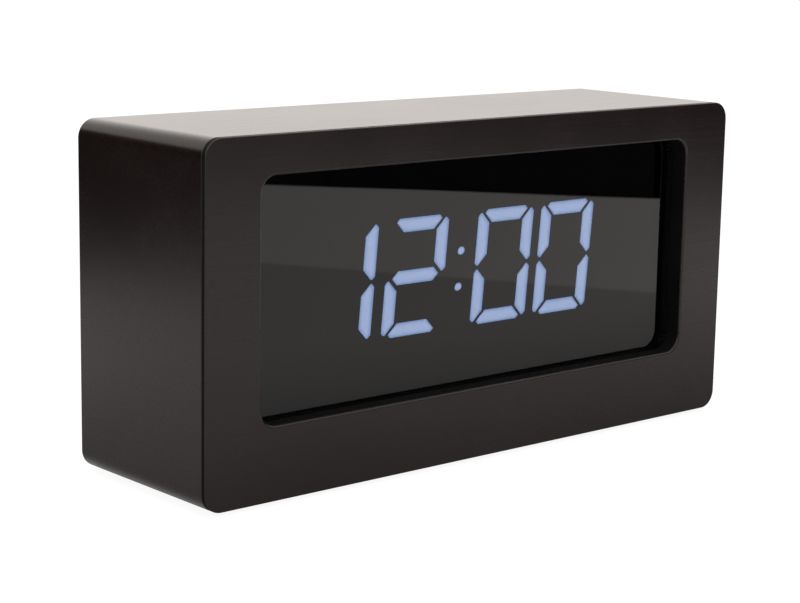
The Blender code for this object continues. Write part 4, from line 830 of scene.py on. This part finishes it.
def buildLens(sizes, around):
    # fills the window between its walls, as near to the front as the photo shows it
    low, high = windowBox(around, -sizes["room"], sizes["front"], sizes["front"] + sizes["thickness"])
    lens = addPlate("lensPane", low, high, around["windowRadius"])
    openEdit(lens)
    pickEdges(lens, lambda edge: inPlane(1, low.y)(edge) or inPlane(1, high.y)(edge))
    bevelPicked(sizes["ease"], sizes["easeSteps"])
    closeEdit()
    smoothen(lens)
    settle(lens, "case", "lensSmoke", "lens_smoke", "lens_window")


# Digits: the guides' bars that are lit, and their paler middles

digitSizes = {
    "height": 26.0 * mm, "width": 17.4 * mm, "upright": 3.6 * mm, "level": 3.05 * mm, "clip": 0.7 * mm,
    "gap": 0.9 * mm, "tipFlat": 0.5 * mm, "levelFlat": 0.1 * mm, "middleFlat": 0.12 * mm, "slant": 5.0,
    "face": 11.35 * mm, "barEnd": 13.0 * mm, "webFront": 12.6 * mm, "maskFront": 11.05 * mm, "room": 0.15 * mm,
    "tensShift": -0.6 * mm, "rings": (0.17, 0.4), "ringGlow": 0.65, "dotAcross": 1.1 * mm, "dotUp": 0.9 * mm,
    "dotSpread": 8.1 * mm, "dotLift": 0.3 * mm,
}
cutGrowth = 0.586  # how much longer a 45 degree cut gets as its bar grows by one on all sides
fullDigit = ("top", "upperRight", "lowerRight", "bottom", "lowerLeft", "upperLeft")
litBars = {
    "digit_hour_tens": ("upperRight", "lowerRight"),
    "digit_hour_ones": ("top", "upperRight", "middle", "lowerLeft", "bottom"),
    "digit_minute_tens": fullDigit,
    "digit_minute_ones": fullDigit,
    "digit_colon": ("upperDot", "lowerDot"),
}


def atCorner(middle, corners):
    # the front-to-back edges at corners with these signs, across and up from the middle
    def test(edge):
        spot = middleOf(edge)
        signs = (1 if spot.x > middle.x else -1, 1 if spot.z > middle.y else -1)
        return runsAlong((0, 1, 0))(edge) and signs in corners

    return test


def addBar(low, high, cuts, depths, grown):
    # a flat bar whose corners are cut off at 45 degrees; cuts: corner signs and the cut's length
    room = Vector((grown, 0, grown))
    start, end = Vector((low[0], depths[0], low[1])), Vector((high[0], depths[1], high[1]))
    bar = addBlock("bar", start - room, end + room)
    openEdit(bar)
    for corners, cut in cuts:
        pickEdges(bar, atCorner((Vector(low) + Vector(high)) / 2, corners))
        bevelPicked(cut + grown * cutGrowth, 1)
    closeEdit()
    return bar


def addDigitBars(sizes, depths, grown):
    # the seven bars about the middle of an upright digit
    half, tall = sizes["width"] / 2, sizes["height"] / 2
    upright, level, clip, gap = sizes["upright"], sizes["level"], sizes["clip"], sizes["gap"]
    slope = upright - clip - sizes["tipFlat"]
    barTop = tall - clip
    reach = barTop - slope - (half - upright)  # how far the joint's slope lies from the digit's own diagonal
    tip = tall - clip - reach - gap  # where the level bars end
    bars = {}
    for name, up in (("top", 1), ("bottom", -1)):
        low, high = sorted((up * (tall - level), up * tall))
        inner = level - clip - sizes["levelFlat"]
        cuts = ((((1, up), (-1, up)), clip), (((1, -up), (-1, -up)), inner))
        bars[name] = addBar((-tip, low), (tip, high), cuts, depths, grown)
    every = ((1, 1), (1, -1), (-1, 1), (-1, -1))
    cuts = ((every, level / 2 - sizes["middleFlat"]),)
    bars["middle"] = addBar((-tip, -level / 2), (tip, level / 2), cuts, depths, grown)
    for side, across in (("Right", 1), ("Left", -1)):
        for row, up in (("upper", 1), ("lower", -1)):
            left, right = sorted((across * (half - upright), across * half))
            low, high = sorted((up * gap / 2, up * barTop))
            cuts = ((((across, 1), (across, -1)), clip), (((-across, 1), (-across, -1)), slope))
            bars[row + side] = addBar((left, low), (right, high), cuts, depths, grown)
    return bars


def addDots(sizes, depths, grown):
    dots = {}
    for name, up in (("upperDot", 0.5), ("lowerDot", -0.5)):
        dot = addRod("dot", Vector((0, depths[0], 0)), Vector((0, depths[1], 0)), 1.0, 32)
        shape = Matrix.Diagonal((sizes["dotAcross"] + grown, 1, sizes["dotUp"] + grown, 1))
        lift = Vector((0, 0, up * sizes["dotSpread"] + sizes["dotLift"]))
        dot.data.transform(Matrix.Translation(lift) @ shape)
        dots[name] = dot
    return dots


def addGlyphs(sizes, depths, grown=0.0):
    # the colon's dots and a digit's bars, slanted; the key tells whether they are the colon's
    glyphs = {True: addDots(sizes, depths, grown), False: addDigitBars(sizes, depths, grown)}
    lean = Matrix.Identity(4)
    lean[0][2] = math.tan(math.radians(sizes["slant"]))
    for bars in glyphs.values():
        for bar in bars.values():
            bar.data.transform(lean)
    return glyphs


def dropGlyphs(glyphs):
    for bars in glyphs.values():
        for bar in bars.values():
            bpy.data.objects.remove(bar, do_unlink=True)


def glyphMiddle(node, sizes):
    shift = sizes["tensShift"] if node == "digit_hour_tens" else 0.0
    return onPlane(boxOf(node)[2], 1, 0) + Vector((shift, 0, 0))


def lightBar(bar, lit, sizes):
    # rings on the bar's face, so that its light can grow paler towards the middle
    faceY = frontY + sizes["face"]
    towardsFront = facing((0, -1, 0), 0.9)
    across = [vert.co.x for vert in bar.data.vertices]
    upward = [vert.co.z for vert in bar.data.vertices]
    width, height = max(across) - min(across), max(upward) - min(upward)
    middle = Vector((max(across) - width / 2, faceY, max(upward) - height / 2))
    openEdit(bar)
    pickFaces(bar, facing((0, -1, 0)))
    before = 0.0
    for ring in sizes["rings"]:
        pushPicked((0, 0, 0))
        left, done = 2 * ring * min(width, height), 2 * before * min(width, height)
        shrink = ((width - left) / (width - done), 1, (height - left) / (height - done))
        bpy.ops.transform.resize(value=shrink, center_override=middle)
        before = ring
    shape = bmesh.from_edit_mesh(bar.data)
    glow = shape.verts.layers.float.new("glow")
    core = [face for face in shape.faces if face.select]
    for vert in shape.verts:
        inCore = any(face in core for face in vert.link_faces)
        onFace = all(towardsFront(face) for face in vert.link_faces)
        vert[glow] = 1.0 if inCore else sizes["ringGlow"] if onFace else 0.0
    for face in shape.faces:
        shines = lit and towardsFront(face) and abs(face.calc_center_median().y - faceY) < planeSlack
        face.material_index = 1 if shines else 0
    bmesh.update_edit_mesh(bar.data)
    closeEdit()


def buildDigits(sizes):
    glyphs = addGlyphs(sizes, (frontY + sizes["face"], frontY + sizes["barEnd"]))
    for node, lit in litBars.items():
        low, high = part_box(node)
        web = addBlock(camelName(node), onPlane(low, 1, frontY + sizes["webFront"]), high)
        web.data.materials.append(paints["guideMilky"])
        ready = []
        for name, bar in glyphs[node == "digit_colon"].items():
            twin = copyOf(bar, name, glyphMiddle(node, sizes))
            twin.data.materials.append(paints["guideFace"])
            twin.data.materials.append(paints["guideLit"])
            lightBar(twin, name in lit, sizes)
            ready.append(twin)
        joinOnto(web, ready)
        settle(web, "case", None, "guide_milky", node)
    dropGlyphs(glyphs)


def buildMask(sizes):
    # the black plate whose openings the bars stand in
    low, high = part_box("segment_mask")
    low.y = frontY + sizes["maskFront"]
    mask = addBlock("segmentMask", low, high)
    glyphs = addGlyphs(sizes, (low.y - overrun, high.y + overrun), sizes["room"])
    openings = []
    for isColon, bars in glyphs.items():
        for node in litBars:
            if (node == "digit_colon") == isColon:
                openings += [copyOf(bar, name, glyphMiddle(node, sizes)) for name, bar in bars.items()]
    dropGlyphs(glyphs)
    combine(mask, openings, "DIFFERENCE")
    settle(mask, "case", "recessBlack", "mask_black", "segment_mask")


# Buttons, slider, power inlet and feet

buttonSizes = {
    "flange": 1.2 * mm, "flangeThickness": 1.0 * mm, "flangeStart": 40.2 * mm, "stemRadius": 1.6 * mm,
    "stemSink": 0.3 * mm, "cornerRadius": 1.2 * mm, "cornerSteps": 8, "ease": 0.4 * mm, "easeSteps": 5,
    "dishInset": 0.2 * mm, "dish": 0.05 * mm, "dishSteps": 3,
}


def buildButton(node, name, sizes):
    low, high, middle = boxOf(node)
    start = frontY + sizes["flangeStart"]
    flangeBack = start + sizes["flangeThickness"]
    corner = sizes["cornerRadius"] + sizes["flange"]
    button = addPlate(name, onPlane(low, 1, start), onPlane(high, 1, flangeBack), corner, sizes["cornerSteps"])
    openEdit(button)
    pickFaces(button, facing((0, 1, 0)))
    insetPicked(sizes["flange"])
    pushPicked((0, high.y - flangeBack, 0))
    pickEdges(button, inPlane(1, high.y))
    bevelPicked(sizes["ease"], sizes["easeSteps"])
    pickFaces(button, inPlane(1, high.y))
    for step in range(sizes["dishSteps"]):
        insetPicked(sizes["dishInset"], -sizes["dish"] / (step + 1))
    closeEdit()
    stemEnd = onPlane(middle, 1, start + sizes["stemSink"])
    stem = addRod("stem", onPlane(middle, 1, low.y), stemEnd, sizes["stemRadius"], 32)
    combine(button, [stem], "UNION")
    smoothen(button)
    settle(button, node, "buttonPlastic", "button_black", node)


sliderSizes = {
    "ribWidth": 0.35 * mm, "ribHeight": 0.25 * mm, "ribPitch": 1.0 * mm, "ribCount": 4, "ribSink": 0.1 * mm,
    "ribEase": 0.1 * mm, "ribSteps": 2, "knobHeight": 2.2 * mm,
}


def buildSlider(sizes):
    slider = copyNode("alarm_slider", "sliderKnob")
    low, high, middle = boxOf("alarm_slider")
    ribTop = high.y + sizes["ribHeight"]
    across, upward = sizes["ribWidth"] / 2, sizes["knobHeight"] / 2
    ribs = []
    for step in range(sizes["ribCount"]):
        x = middle.x + (step - (sizes["ribCount"] - 1) / 2) * sizes["ribPitch"]
        start = Vector((x - across, high.y - sizes["ribSink"], middle.z - upward))
        ribs.append(addBlock("rib", start, Vector((x + across, ribTop, middle.z + upward))))
    for rib in ribs:
        openEdit(rib)
        pickEdges(rib, inPlane(1, ribTop))
        bevelPicked(sizes["ribEase"], sizes["ribSteps"])
        closeEdit()
    combine(slider, ribs, "UNION")
    smoothen(slider)
    settle(slider, "alarm_slider", "buttonPlastic", "cover_black", "alarm_slider")


inletSizes = {
    "noseRadius": 4.0 * mm, "noseSink": 3.0 * mm, "boreRadius": 2.8 * mm, "boreDepth": 7.0 * mm,
    "boreEase": 0.35 * mm, "pinRadius": 1.0 * mm, "pinLength": 6.0 * mm, "pinEase": 0.3 * mm,
    "pinRoom": 0.05 * mm, "easeSteps": 4, "bodyBack": 39.0 * mm, "bodyEase": 0.4 * mm, "bodySteps": 3,
}


def buildNose(low, high, middle, sizes):
    start = onPlane(middle, 1, frontY + sizes["bodyBack"] - sizes["noseSink"])
    nose = addRod("powerInlet", start, onPlane(middle, 1, high.y), sizes["noseRadius"], 64)
    openEdit(nose)
    pickFaces(nose, facing((0, 1, 0)))
    insetPicked(sizes["noseRadius"] - sizes["boreRadius"])
    pushPicked((0, -sizes["boreDepth"], 0))
    insetPicked(sizes["boreRadius"] - sizes["pinRadius"])
    pushPicked((0, sizes["pinLength"], 0))
    pickEdges(nose, inPlane(1, high.y - sizes["boreDepth"] + sizes["pinLength"]))
    bevelPicked(sizes["pinEase"], sizes["easeSteps"])
    pickEdges(nose, inPlane(1, high.y))
    bevelPicked(sizes["boreEase"], sizes["easeSteps"])
    closeEdit()
    return nose


def buildInlet(sizes):
    low, high, middle = boxOf("power_socket")
    nose = buildNose(low, high, middle, sizes)
    body = addBlock("inletBody", low, onPlane(high, 1, frontY + sizes["bodyBack"]))
    openEdit(body)
    bpy.ops.mesh.select_all(action="SELECT")
    bevelPicked(sizes["bodyEase"], sizes["bodySteps"])
    closeEdit()
    combine(nose, [body], "UNION")
    smoothen(nose)
    settle(nose, "case", "partBlack", "part_black", "power_socket")
    nose.data.materials.append(paints["contactNickel"])
    for face in nose.data.polygons:
        fromAxis = math.hypot(face.center.x - middle.x, face.center.z - middle.z)
        if fromAxis < sizes["pinRadius"] + sizes["pinRoom"] and face.center.y > high.y - sizes["boreDepth"]:
            face.material_index = 1


footSizes = {"ease": 0.35 * mm, "easeSteps": 4, "rim": 1.1 * mm, "step": 0.2 * mm, "hollow": 0.25 * mm}


def buildFoot(node, sizes):
    low, high, middle = boxOf(node)
    name = camelName(node[len("rubber_"):])
    foot = addRod(name, onPlane(middle, 2, low.z), onPlane(middle, 2, high.z), (high.x - low.x) / 2, 64)
    openEdit(foot)
    pickEdges(foot, inPlane(2, low.z))
    bevelPicked(sizes["ease"], sizes["easeSteps"])
    pickFaces(foot, facing((0, 0, -1)))
    insetPicked(sizes["rim"])
    insetPicked(sizes["step"], -sizes["hollow"])
    closeEdit()
    smoothen(foot)
    settle(foot, "case", "footRubber", "rubber_black", node)


# Battery cells: can, jacket, band and terminals

cellSizes = {
    "ease": 0.5 * mm, "easeSteps": 5, "rim": 0.5 * mm, "step": 0.3 * mm, "sunk": 0.2 * mm,
    "nubRadius": 1.9 * mm, "nubLength": 0.8 * mm, "nubEase": 0.25 * mm, "nubSteps": 3, "tailStep": 0.25 * mm,
    "tailSunk": 0.15 * mm, "sleeveEnd": 1.1 * mm, "fold": 0.3 * mm, "band": 9.0 * mm,
}


def buildCell(number, sizes):
    node = f"battery_cell_{number}"
    low, high, middle = boxOf(node)
    spring = boxOf(f"contact_spring_{number}")[2]
    way = 1 if spring.x < middle.x else -1  # the nub points away from the spring
    radius = (high.z - low.z) / 2
    tail, tip = (low.x, high.x) if way > 0 else (high.x, low.x)
    shoulder = tip - way * sizes["nubLength"]
    cell = addRod(f"cell{number}", onPlane(middle, 0, tail), onPlane(middle, 0, shoulder), radius, 64)
    openEdit(cell)
    pickEdges(cell, lambda edge: inPlane(0, tail)(edge) or inPlane(0, shoulder)(edge))
    bevelPicked(sizes["ease"], sizes["easeSteps"])
    pickFaces(cell, facing((way, 0, 0)))
    insetPicked(sizes["rim"])
    insetPicked(sizes["step"], -sizes["sunk"])
    insetPicked(radius - sizes["ease"] - sizes["rim"] - sizes["step"] - sizes["nubRadius"])
    pushPicked((way * (sizes["nubLength"] + sizes["sunk"]), 0, 0))
    pickEdges(cell, inPlane(0, tip))
    bevelPicked(sizes["nubEase"], sizes["nubSteps"])
    pickFaces(cell, facing((-way, 0, 0)))
    insetPicked(sizes["rim"])
    insetPicked(sizes["tailStep"], -sizes["tailSunk"])
    foldStart, bandStart = shoulder - way * sizes["sleeveEnd"], shoulder - way * sizes["band"]
    for cut in (tail + way * sizes["sleeveEnd"], foldStart, bandStart):
        bpy.ops.mesh.select_all(action="SELECT")
        bpy.ops.mesh.bisect(plane_co=(cut, 0, 0), plane_no=(1, 0, 0))
    closeEdit()
    smoothen(cell)
    settle(cell, "case", "contactNickel", "cell_jacket", node)
    cell.data.materials.append(paints["cellJacket"])
    cell.data.materials.append(paints["cellBand"])
    whole = abs(shoulder - tail)
    for face in cell.data.polygons:
        along = (face.center.x - tail) * way
        bareEnd = along <= sizes["sleeveEnd"] and abs(face.normal.x) >= 0.9
        if along < whole - sizes["fold"] and not bareEnd:
            face.material_index = 2 if along > whole - sizes["band"] else 1


buildShell(shellSizes)
buildFrame(frameSizes)
buildLens(lensSizes, frameSizes)
print("case, frame and lens modelled")
buildDigits(digitSizes)
buildMask(digitSizes)
for node in ("time_button", "alarm_button", "hour_button", "minute_button", "snooze_button"):
    buildButton(node, camelName(node), buttonSizes)
buildSlider(sliderSizes)
buildInlet(inletSizes)
for node in footNodes:
    buildFoot(node, footSizes)
for number in (1, 2, 3):
    buildCell(number, cellSizes)
print("digits, controls, feet and cells modelled")


# Rear cover and battery door, with their printed legends

settle(copyNode("rear_cover"), "case", "coverPlastic", "cover_black", "rear_cover")
settle(copyNode("battery_door"), "battery_door", "coverPlastic", "cover_black", "battery_door")

legendSizes = {
    "height": 1.84 * mm, "stateHeight": 1.725 * mm, "doorHeight": 2.3 * mm, "capitalShare": 0.7,
    "thickness": 0.03 * mm, "rise": 1.6 * mm, "buttonRise": 0.96 * mm, "sliderShift": 1.5 * mm,
    "offShift": -6.7 * mm, "onShift": 9.5 * mm, "doorDrop": 13.5 * mm,
}
buttonWords = {
    "time_button": "TIME", "alarm_button": "ALARM", "hour_button": "HOUR", "minute_button": "MIN",
    "snooze_button": "SNOOZE",
}


def addLegend(words, spot, height, sizes):
    dropChoice()
    bpy.ops.object.text_add(location=(0, 0, 0))
    text = bpy.context.object
    text.data.body = words
    text.data.size = height / sizes["capitalShare"]
    text.data.align_x = "CENTER"
    text.data.align_y = "CENTER"
    text.data.extrude = sizes["thickness"] / 2
    bpy.ops.object.convert(target="MESH")
    text = bpy.context.object
    text.rotation_euler = (math.radians(90), 0, math.radians(180))  # reads from behind
    text.location = spot + Vector((0, sizes["thickness"] / 2, 0))
    bpy.ops.object.transform_apply(location=True, rotation=True, scale=True)
    openEdit(text)
    bpy.ops.mesh.select_all(action="SELECT")
    bpy.ops.mesh.remove_doubles(threshold=weldReach)
    bpy.ops.mesh.normals_make_consistent(inside=False)
    closeEdit()
    return text


def addLegends(sizes):
    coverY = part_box("rear_cover")[1].y

    def onCover(words, node, height, across=0.0, rise=None):
        # a rise counts up from the node's top; without one the words stand level with its middle
        low, high, middle = boxOf(node)
        z = middle.z if rise is None else high.z + rise
        return addLegend(words, Vector((middle.x + across, coverY, z)), height, sizes)

    height, state, rise = sizes["height"], sizes["stateHeight"], sizes["rise"]
    prints = [onCover(words, node, height, rise=sizes["buttonRise"]) for node, words in buttonWords.items()]
    prints.append(onCover("ALARM", "alarm_slider", height, sizes["sliderShift"], rise))
    prints.append(onCover("OFF", "alarm_slider", state, sizes["offShift"]))
    prints.append(onCover("ON", "alarm_slider", state, sizes["onShift"]))
    prints.append(onCover("DC IN", "power_socket", height, rise=rise))
    joinOnto(prints[0], prints[1:])
    prints[0].name = "rearLegends"
    settle(prints[0], "case", "legendInk", "button_black")
    low, high, middle = boxOf("battery_door")
    spot = Vector((middle.x, high.y, high.z - sizes["doorDrop"]))
    opener = addLegend("OPEN", spot, sizes["doorHeight"], sizes)
    opener.name = "doorLegend"
    settle(opener, "battery_door", "legendInk", "cover_black")


addLegends(legendSizes)
print("rear side modelled")


# Works: copies with smooth rounds, then a finish for every CAD node that still shows

smoothNodes = {f"contact_spring_{number}": "contact_nickel" for number in (1, 2, 3)}
smoothNodes |= {
    "battery_wire_red": "wire_red", "battery_wire_black": "wire_black", "ribbon_cable": "ribbon_grey",
    "buzzer": "part_black", "crystal_can": "can_metal", "clock_chip": "part_black",
}
for side in ("left", "right"):
    smoothNodes[f"board_screw_{side}"] = "screw_steel"
    for level in ("bottom", "top"):
        smoothNodes[f"cover_screw_{level}_{side}"] = "screw_steel"
        smoothNodes[f"display_screw_{level}_{side}"] = "screw_steel"
for node, slot in smoothNodes.items():
    settle(copyNode(node), "case", camelName(slot), slot, node)

# the slots whose paint goes by another name than their own
slotPaints = {
    "case_black": "caseSatin", "fascia_black": "frontSatin", "cover_black": "coverPlastic",
    "button_black": "buttonPlastic", "foam_black": "gasketFoam", "mask_black": "recessBlack",
    "rubber_black": "footRubber",
}
for node in frame["nodes"].values():
    for slot in node.material_slots:
        plain = slot.material.name.split(".")[0]
        slot.material = paints[slotPaints.get(plain, camelName(plain))]
print("works finished")


# Table, cards, room light, lamps and camera

stageSizes = {
    "floorHalf": 4.0, "cardNormal": (0.754, -0.657), "rightCard": 0.454, "leftCard": -0.305, "cardLength": 3.0,
    "cardHeight": 0.18, "stepNormal": (0.862, -0.506), "stepDistance": 0.225, "stepFade": 0.003,
    "nearLevel": 0.66, "shadeReach": 0.12, "shadeLevel": 0.4, "edgeFade": 0.008, "edgeWave": 0.012,
    "waveScale": 9.0, "paper": 0.86, "tableLight": 1.15, "tableShine": 1.08, "tableShare": 0.8,
    "roomTint": (0.99, 0.94, 0.9), "roomLight": 0.6,
}


def startPlain(name):
    # a material without a shader yet, and the socket that its own one goes to
    material = bpy.data.materials.new(name)
    material.use_nodes = True
    tree = material.node_tree
    tree.nodes.remove(tree.nodes["Principled BSDF"])
    return material, tree, tree.nodes["Material Output"].inputs["Surface"]


def addShaderMix(tree, share, first, second):
    mixed = tree.nodes.new("ShaderNodeMixShader")
    tree.links.new(share, mixed.inputs["Fac"])
    tree.links.new(first.outputs[0], mixed.inputs[1])
    tree.links.new(second.outputs[0], mixed.inputs[2])
    return mixed.outputs[0]


def addAlong(tree, split, normal):
    # how far a point lies from the middle along a level direction
    across = addProduct(tree, split.outputs["X"], normal[0])
    return addMath(tree, "ADD", across, addProduct(tree, split.outputs["Y"], normal[1]))


def addBeyond(tree, split, axis, limit):
    # how far a point lies out past a limit on either side of the middle
    return addMath(tree, "SUBTRACT", addMath(tree, "ABSOLUTE", split.outputs[axis]), limit)


def paintTable(sizes):
    # white for the camera with a little of the real light left in, so that the clock keeps its shadow
    material, tree, surface = startPlain("whiteTable")
    paper = tree.nodes.new("ShaderNodeBsdfDiffuse")
    paper.inputs["Color"].default_value = (*grey(sizes["paper"]), 1)
    bright = tree.nodes.new("ShaderNodeEmission")
    path = tree.nodes.new("ShaderNodeLightPath").outputs
    where = tree.nodes.new("ShaderNodeTexCoord").outputs["Object"]
    split = tree.nodes.new("ShaderNodeSeparateXYZ")
    tree.links.new(where, split.inputs[0])
    # what reflections see of the table carries a painted shadow of the clock: darker inside a step line near its
    # front, and darker still right beside the case
    step, fade = sizes["stepDistance"], sizes["stepFade"]
    near = addAlong(tree, split, sizes["stepNormal"])
    near = addRange(tree, near, step - fade, step + fade, sizes["nearLevel"], 1.0)
    away = [addBeyond(tree, split, "X", caseHigh.x), addBeyond(tree, split, "Y", caseHigh.y)]
    shade = addMath(tree, "MAXIMUM", *away)
    shade = addRange(tree, shade, 0.0, sizes["shadeReach"], sizes["shadeLevel"], 1.0)
    wave = addProduct(tree, addNoise(tree, where, sizes["waveScale"], 1.0), sizes["edgeWave"])
    towards = addMath(tree, "ADD", addAlong(tree, split, sizes["cardNormal"]), wave)
    edge = sizes["rightCard"] + sizes["edgeWave"] / 2
    inside = addRange(tree, towards, edge - sizes["edgeFade"], edge, 1.0, 0.0)
    shine = addProduct(tree, near, shade, inside, sizes["tableShine"])
    seen = addMath(tree, "MAXIMUM", path["Is Camera Ray"], path["Is Transmission Ray"])
    level = addMath(tree, "MAXIMUM", addProduct(tree, seen, sizes["tableLight"]), shine)
    tree.links.new(level, bright.inputs["Strength"])
    tree.links.new(addMix(tree, path["Is Glossy Ray"], grey(1), sizes["roomTint"]), bright.inputs["Color"])
    share = addProduct(tree, addMath(tree, "MAXIMUM", seen, path["Is Glossy Ray"]), sizes["tableShare"])
    tree.links.new(addShaderMix(tree, share, paper, bright), surface)
    return material


def addSheet(name, size, spot, material):
    dropChoice()
    bpy.ops.mesh.primitive_plane_add(size=size, location=spot)
    sheet = bpy.context.object
    sheet.name = name
    sheet.data.materials.append(material)
    return sheet


def addTable(sizes):
    table = addSheet("table", sizes["floorHalf"] * 2, (0, 0, cadBox[0].z), paintTable(sizes))


def addCard(name, distance, sizes):
    # a black card beside the table: nothing but reflections sees it
    material, tree, surface = startPlain(name + "Black")
    black = tree.nodes.new("ShaderNodeEmission")
    black.inputs["Strength"].default_value = 0.0
    tree.links.new(black.outputs[0], surface)
    away = Vector((*sizes["cardNormal"], 0))
    card = addSheet(name, 1, away * distance + Vector((0, 0, sizes["cardHeight"] / 2)), material)
    card.rotation_euler = away.to_track_quat("Z", "Y").to_euler()
    card.scale = (sizes["cardLength"], sizes["cardHeight"], 1)
    card.visible_camera = card.visible_diffuse = card.visible_shadow = card.visible_transmission = False


def addWorld(sizes):
    world = bpy.data.worlds.new("studio")
    bpy.context.scene.world = world
    world.use_nodes = True
    tree = world.node_tree
    tree.nodes.clear()
    output = tree.nodes.new("ShaderNodeOutputWorld")
    white = tree.nodes.new("ShaderNodeBackground")
    soft = tree.nodes.new("ShaderNodeBackground")
    soft.inputs["Color"].default_value = (1, 1, 1, 1)
    soft.inputs["Strength"].default_value = sizes["roomLight"]
    path = tree.nodes.new("ShaderNodeLightPath").outputs
    seen = addMath(tree, "MAXIMUM", path["Is Camera Ray"], path["Is Glossy Ray"])
    seen = addMath(tree, "MAXIMUM", seen, path["Is Transmission Ray"])
    # what gloss reflects of the room is a little warm; the camera sees plain white
    tree.links.new(addMix(tree, path["Is Glossy Ray"], grey(1), sizes["roomTint"]), white.inputs["Color"])
    tree.links.new(addShaderMix(tree, seen, soft, white), output.inputs["Surface"])


lampSettings = {
    "overhead": {"place": (-0.2, 0.1, 1.1), "size": 0.9, "power": 6.0},
    "frontFill": {"place": (-0.7, -0.9, 0.7), "size": 0.8, "power": 4.0},
}
lampAim = Vector((0, 0, 0.04))


def addLamp(name, settings):
    light = bpy.data.lights.new(name, "AREA")
    light.shape = "SQUARE"
    light.size = settings["size"]
    light.energy = settings["power"]
    lamp = bpy.data.objects.new(name, light)
    bpy.context.scene.collection.objects.link(lamp)
    lamp.location = settings["place"]
    lamp.rotation_euler = (lampAim - lamp.location).to_track_quat("-Z", "Y").to_euler()
    lamp.visible_glossy = False


cameraSettings = {
    "azimuth": -41.215, "elevation": 10.818, "roll": 1.020, "distance": 424.9 * mm,
    "target": (-26.53 * mm, -22.75 * mm, 38.76 * mm), "lens": 90.81, "sensor": 36.0, "clipStart": 10.0 * mm,
}


def addCamera(settings):
    azimuth, elevation, roll = (math.radians(settings[name]) for name in ("azimuth", "elevation", "roll"))
    level = Vector((math.sin(azimuth), -math.cos(azimuth), 0))
    back = level * math.cos(elevation) + Vector((0, 0, math.sin(elevation)))
    right = (-back).cross(Vector((0, 0, 1))).normalized()
    up = right.cross(-back)
    across = right * math.cos(roll) + up * math.sin(roll)
    upward = up * math.cos(roll) - right * math.sin(roll)
    turn = Matrix((across, upward, back)).transposed().to_4x4()
    view = bpy.data.cameras.new("photoView")
    view.lens = settings["lens"]
    view.sensor_width = settings["sensor"]
    view.clip_start = settings["clipStart"]
    camera = bpy.data.objects.new("photoView", view)
    bpy.context.scene.collection.objects.link(camera)
    camera.matrix_world = Matrix.Translation(Vector(settings["target"]) + back * settings["distance"]) @ turn
    bpy.context.scene.camera = camera


addTable(stageSizes)
addCard("rightCard", stageSizes["rightCard"], stageSizes)
addCard("leftCard", stageSizes["leftCard"], stageSizes)
addWorld(stageSizes)
for name, settings in lampSettings.items():
    addLamp(name, settings)
addCamera(cameraSettings)
bpy.context.scene.view_settings.view_transform = "Standard"
print("stage, light and camera set")
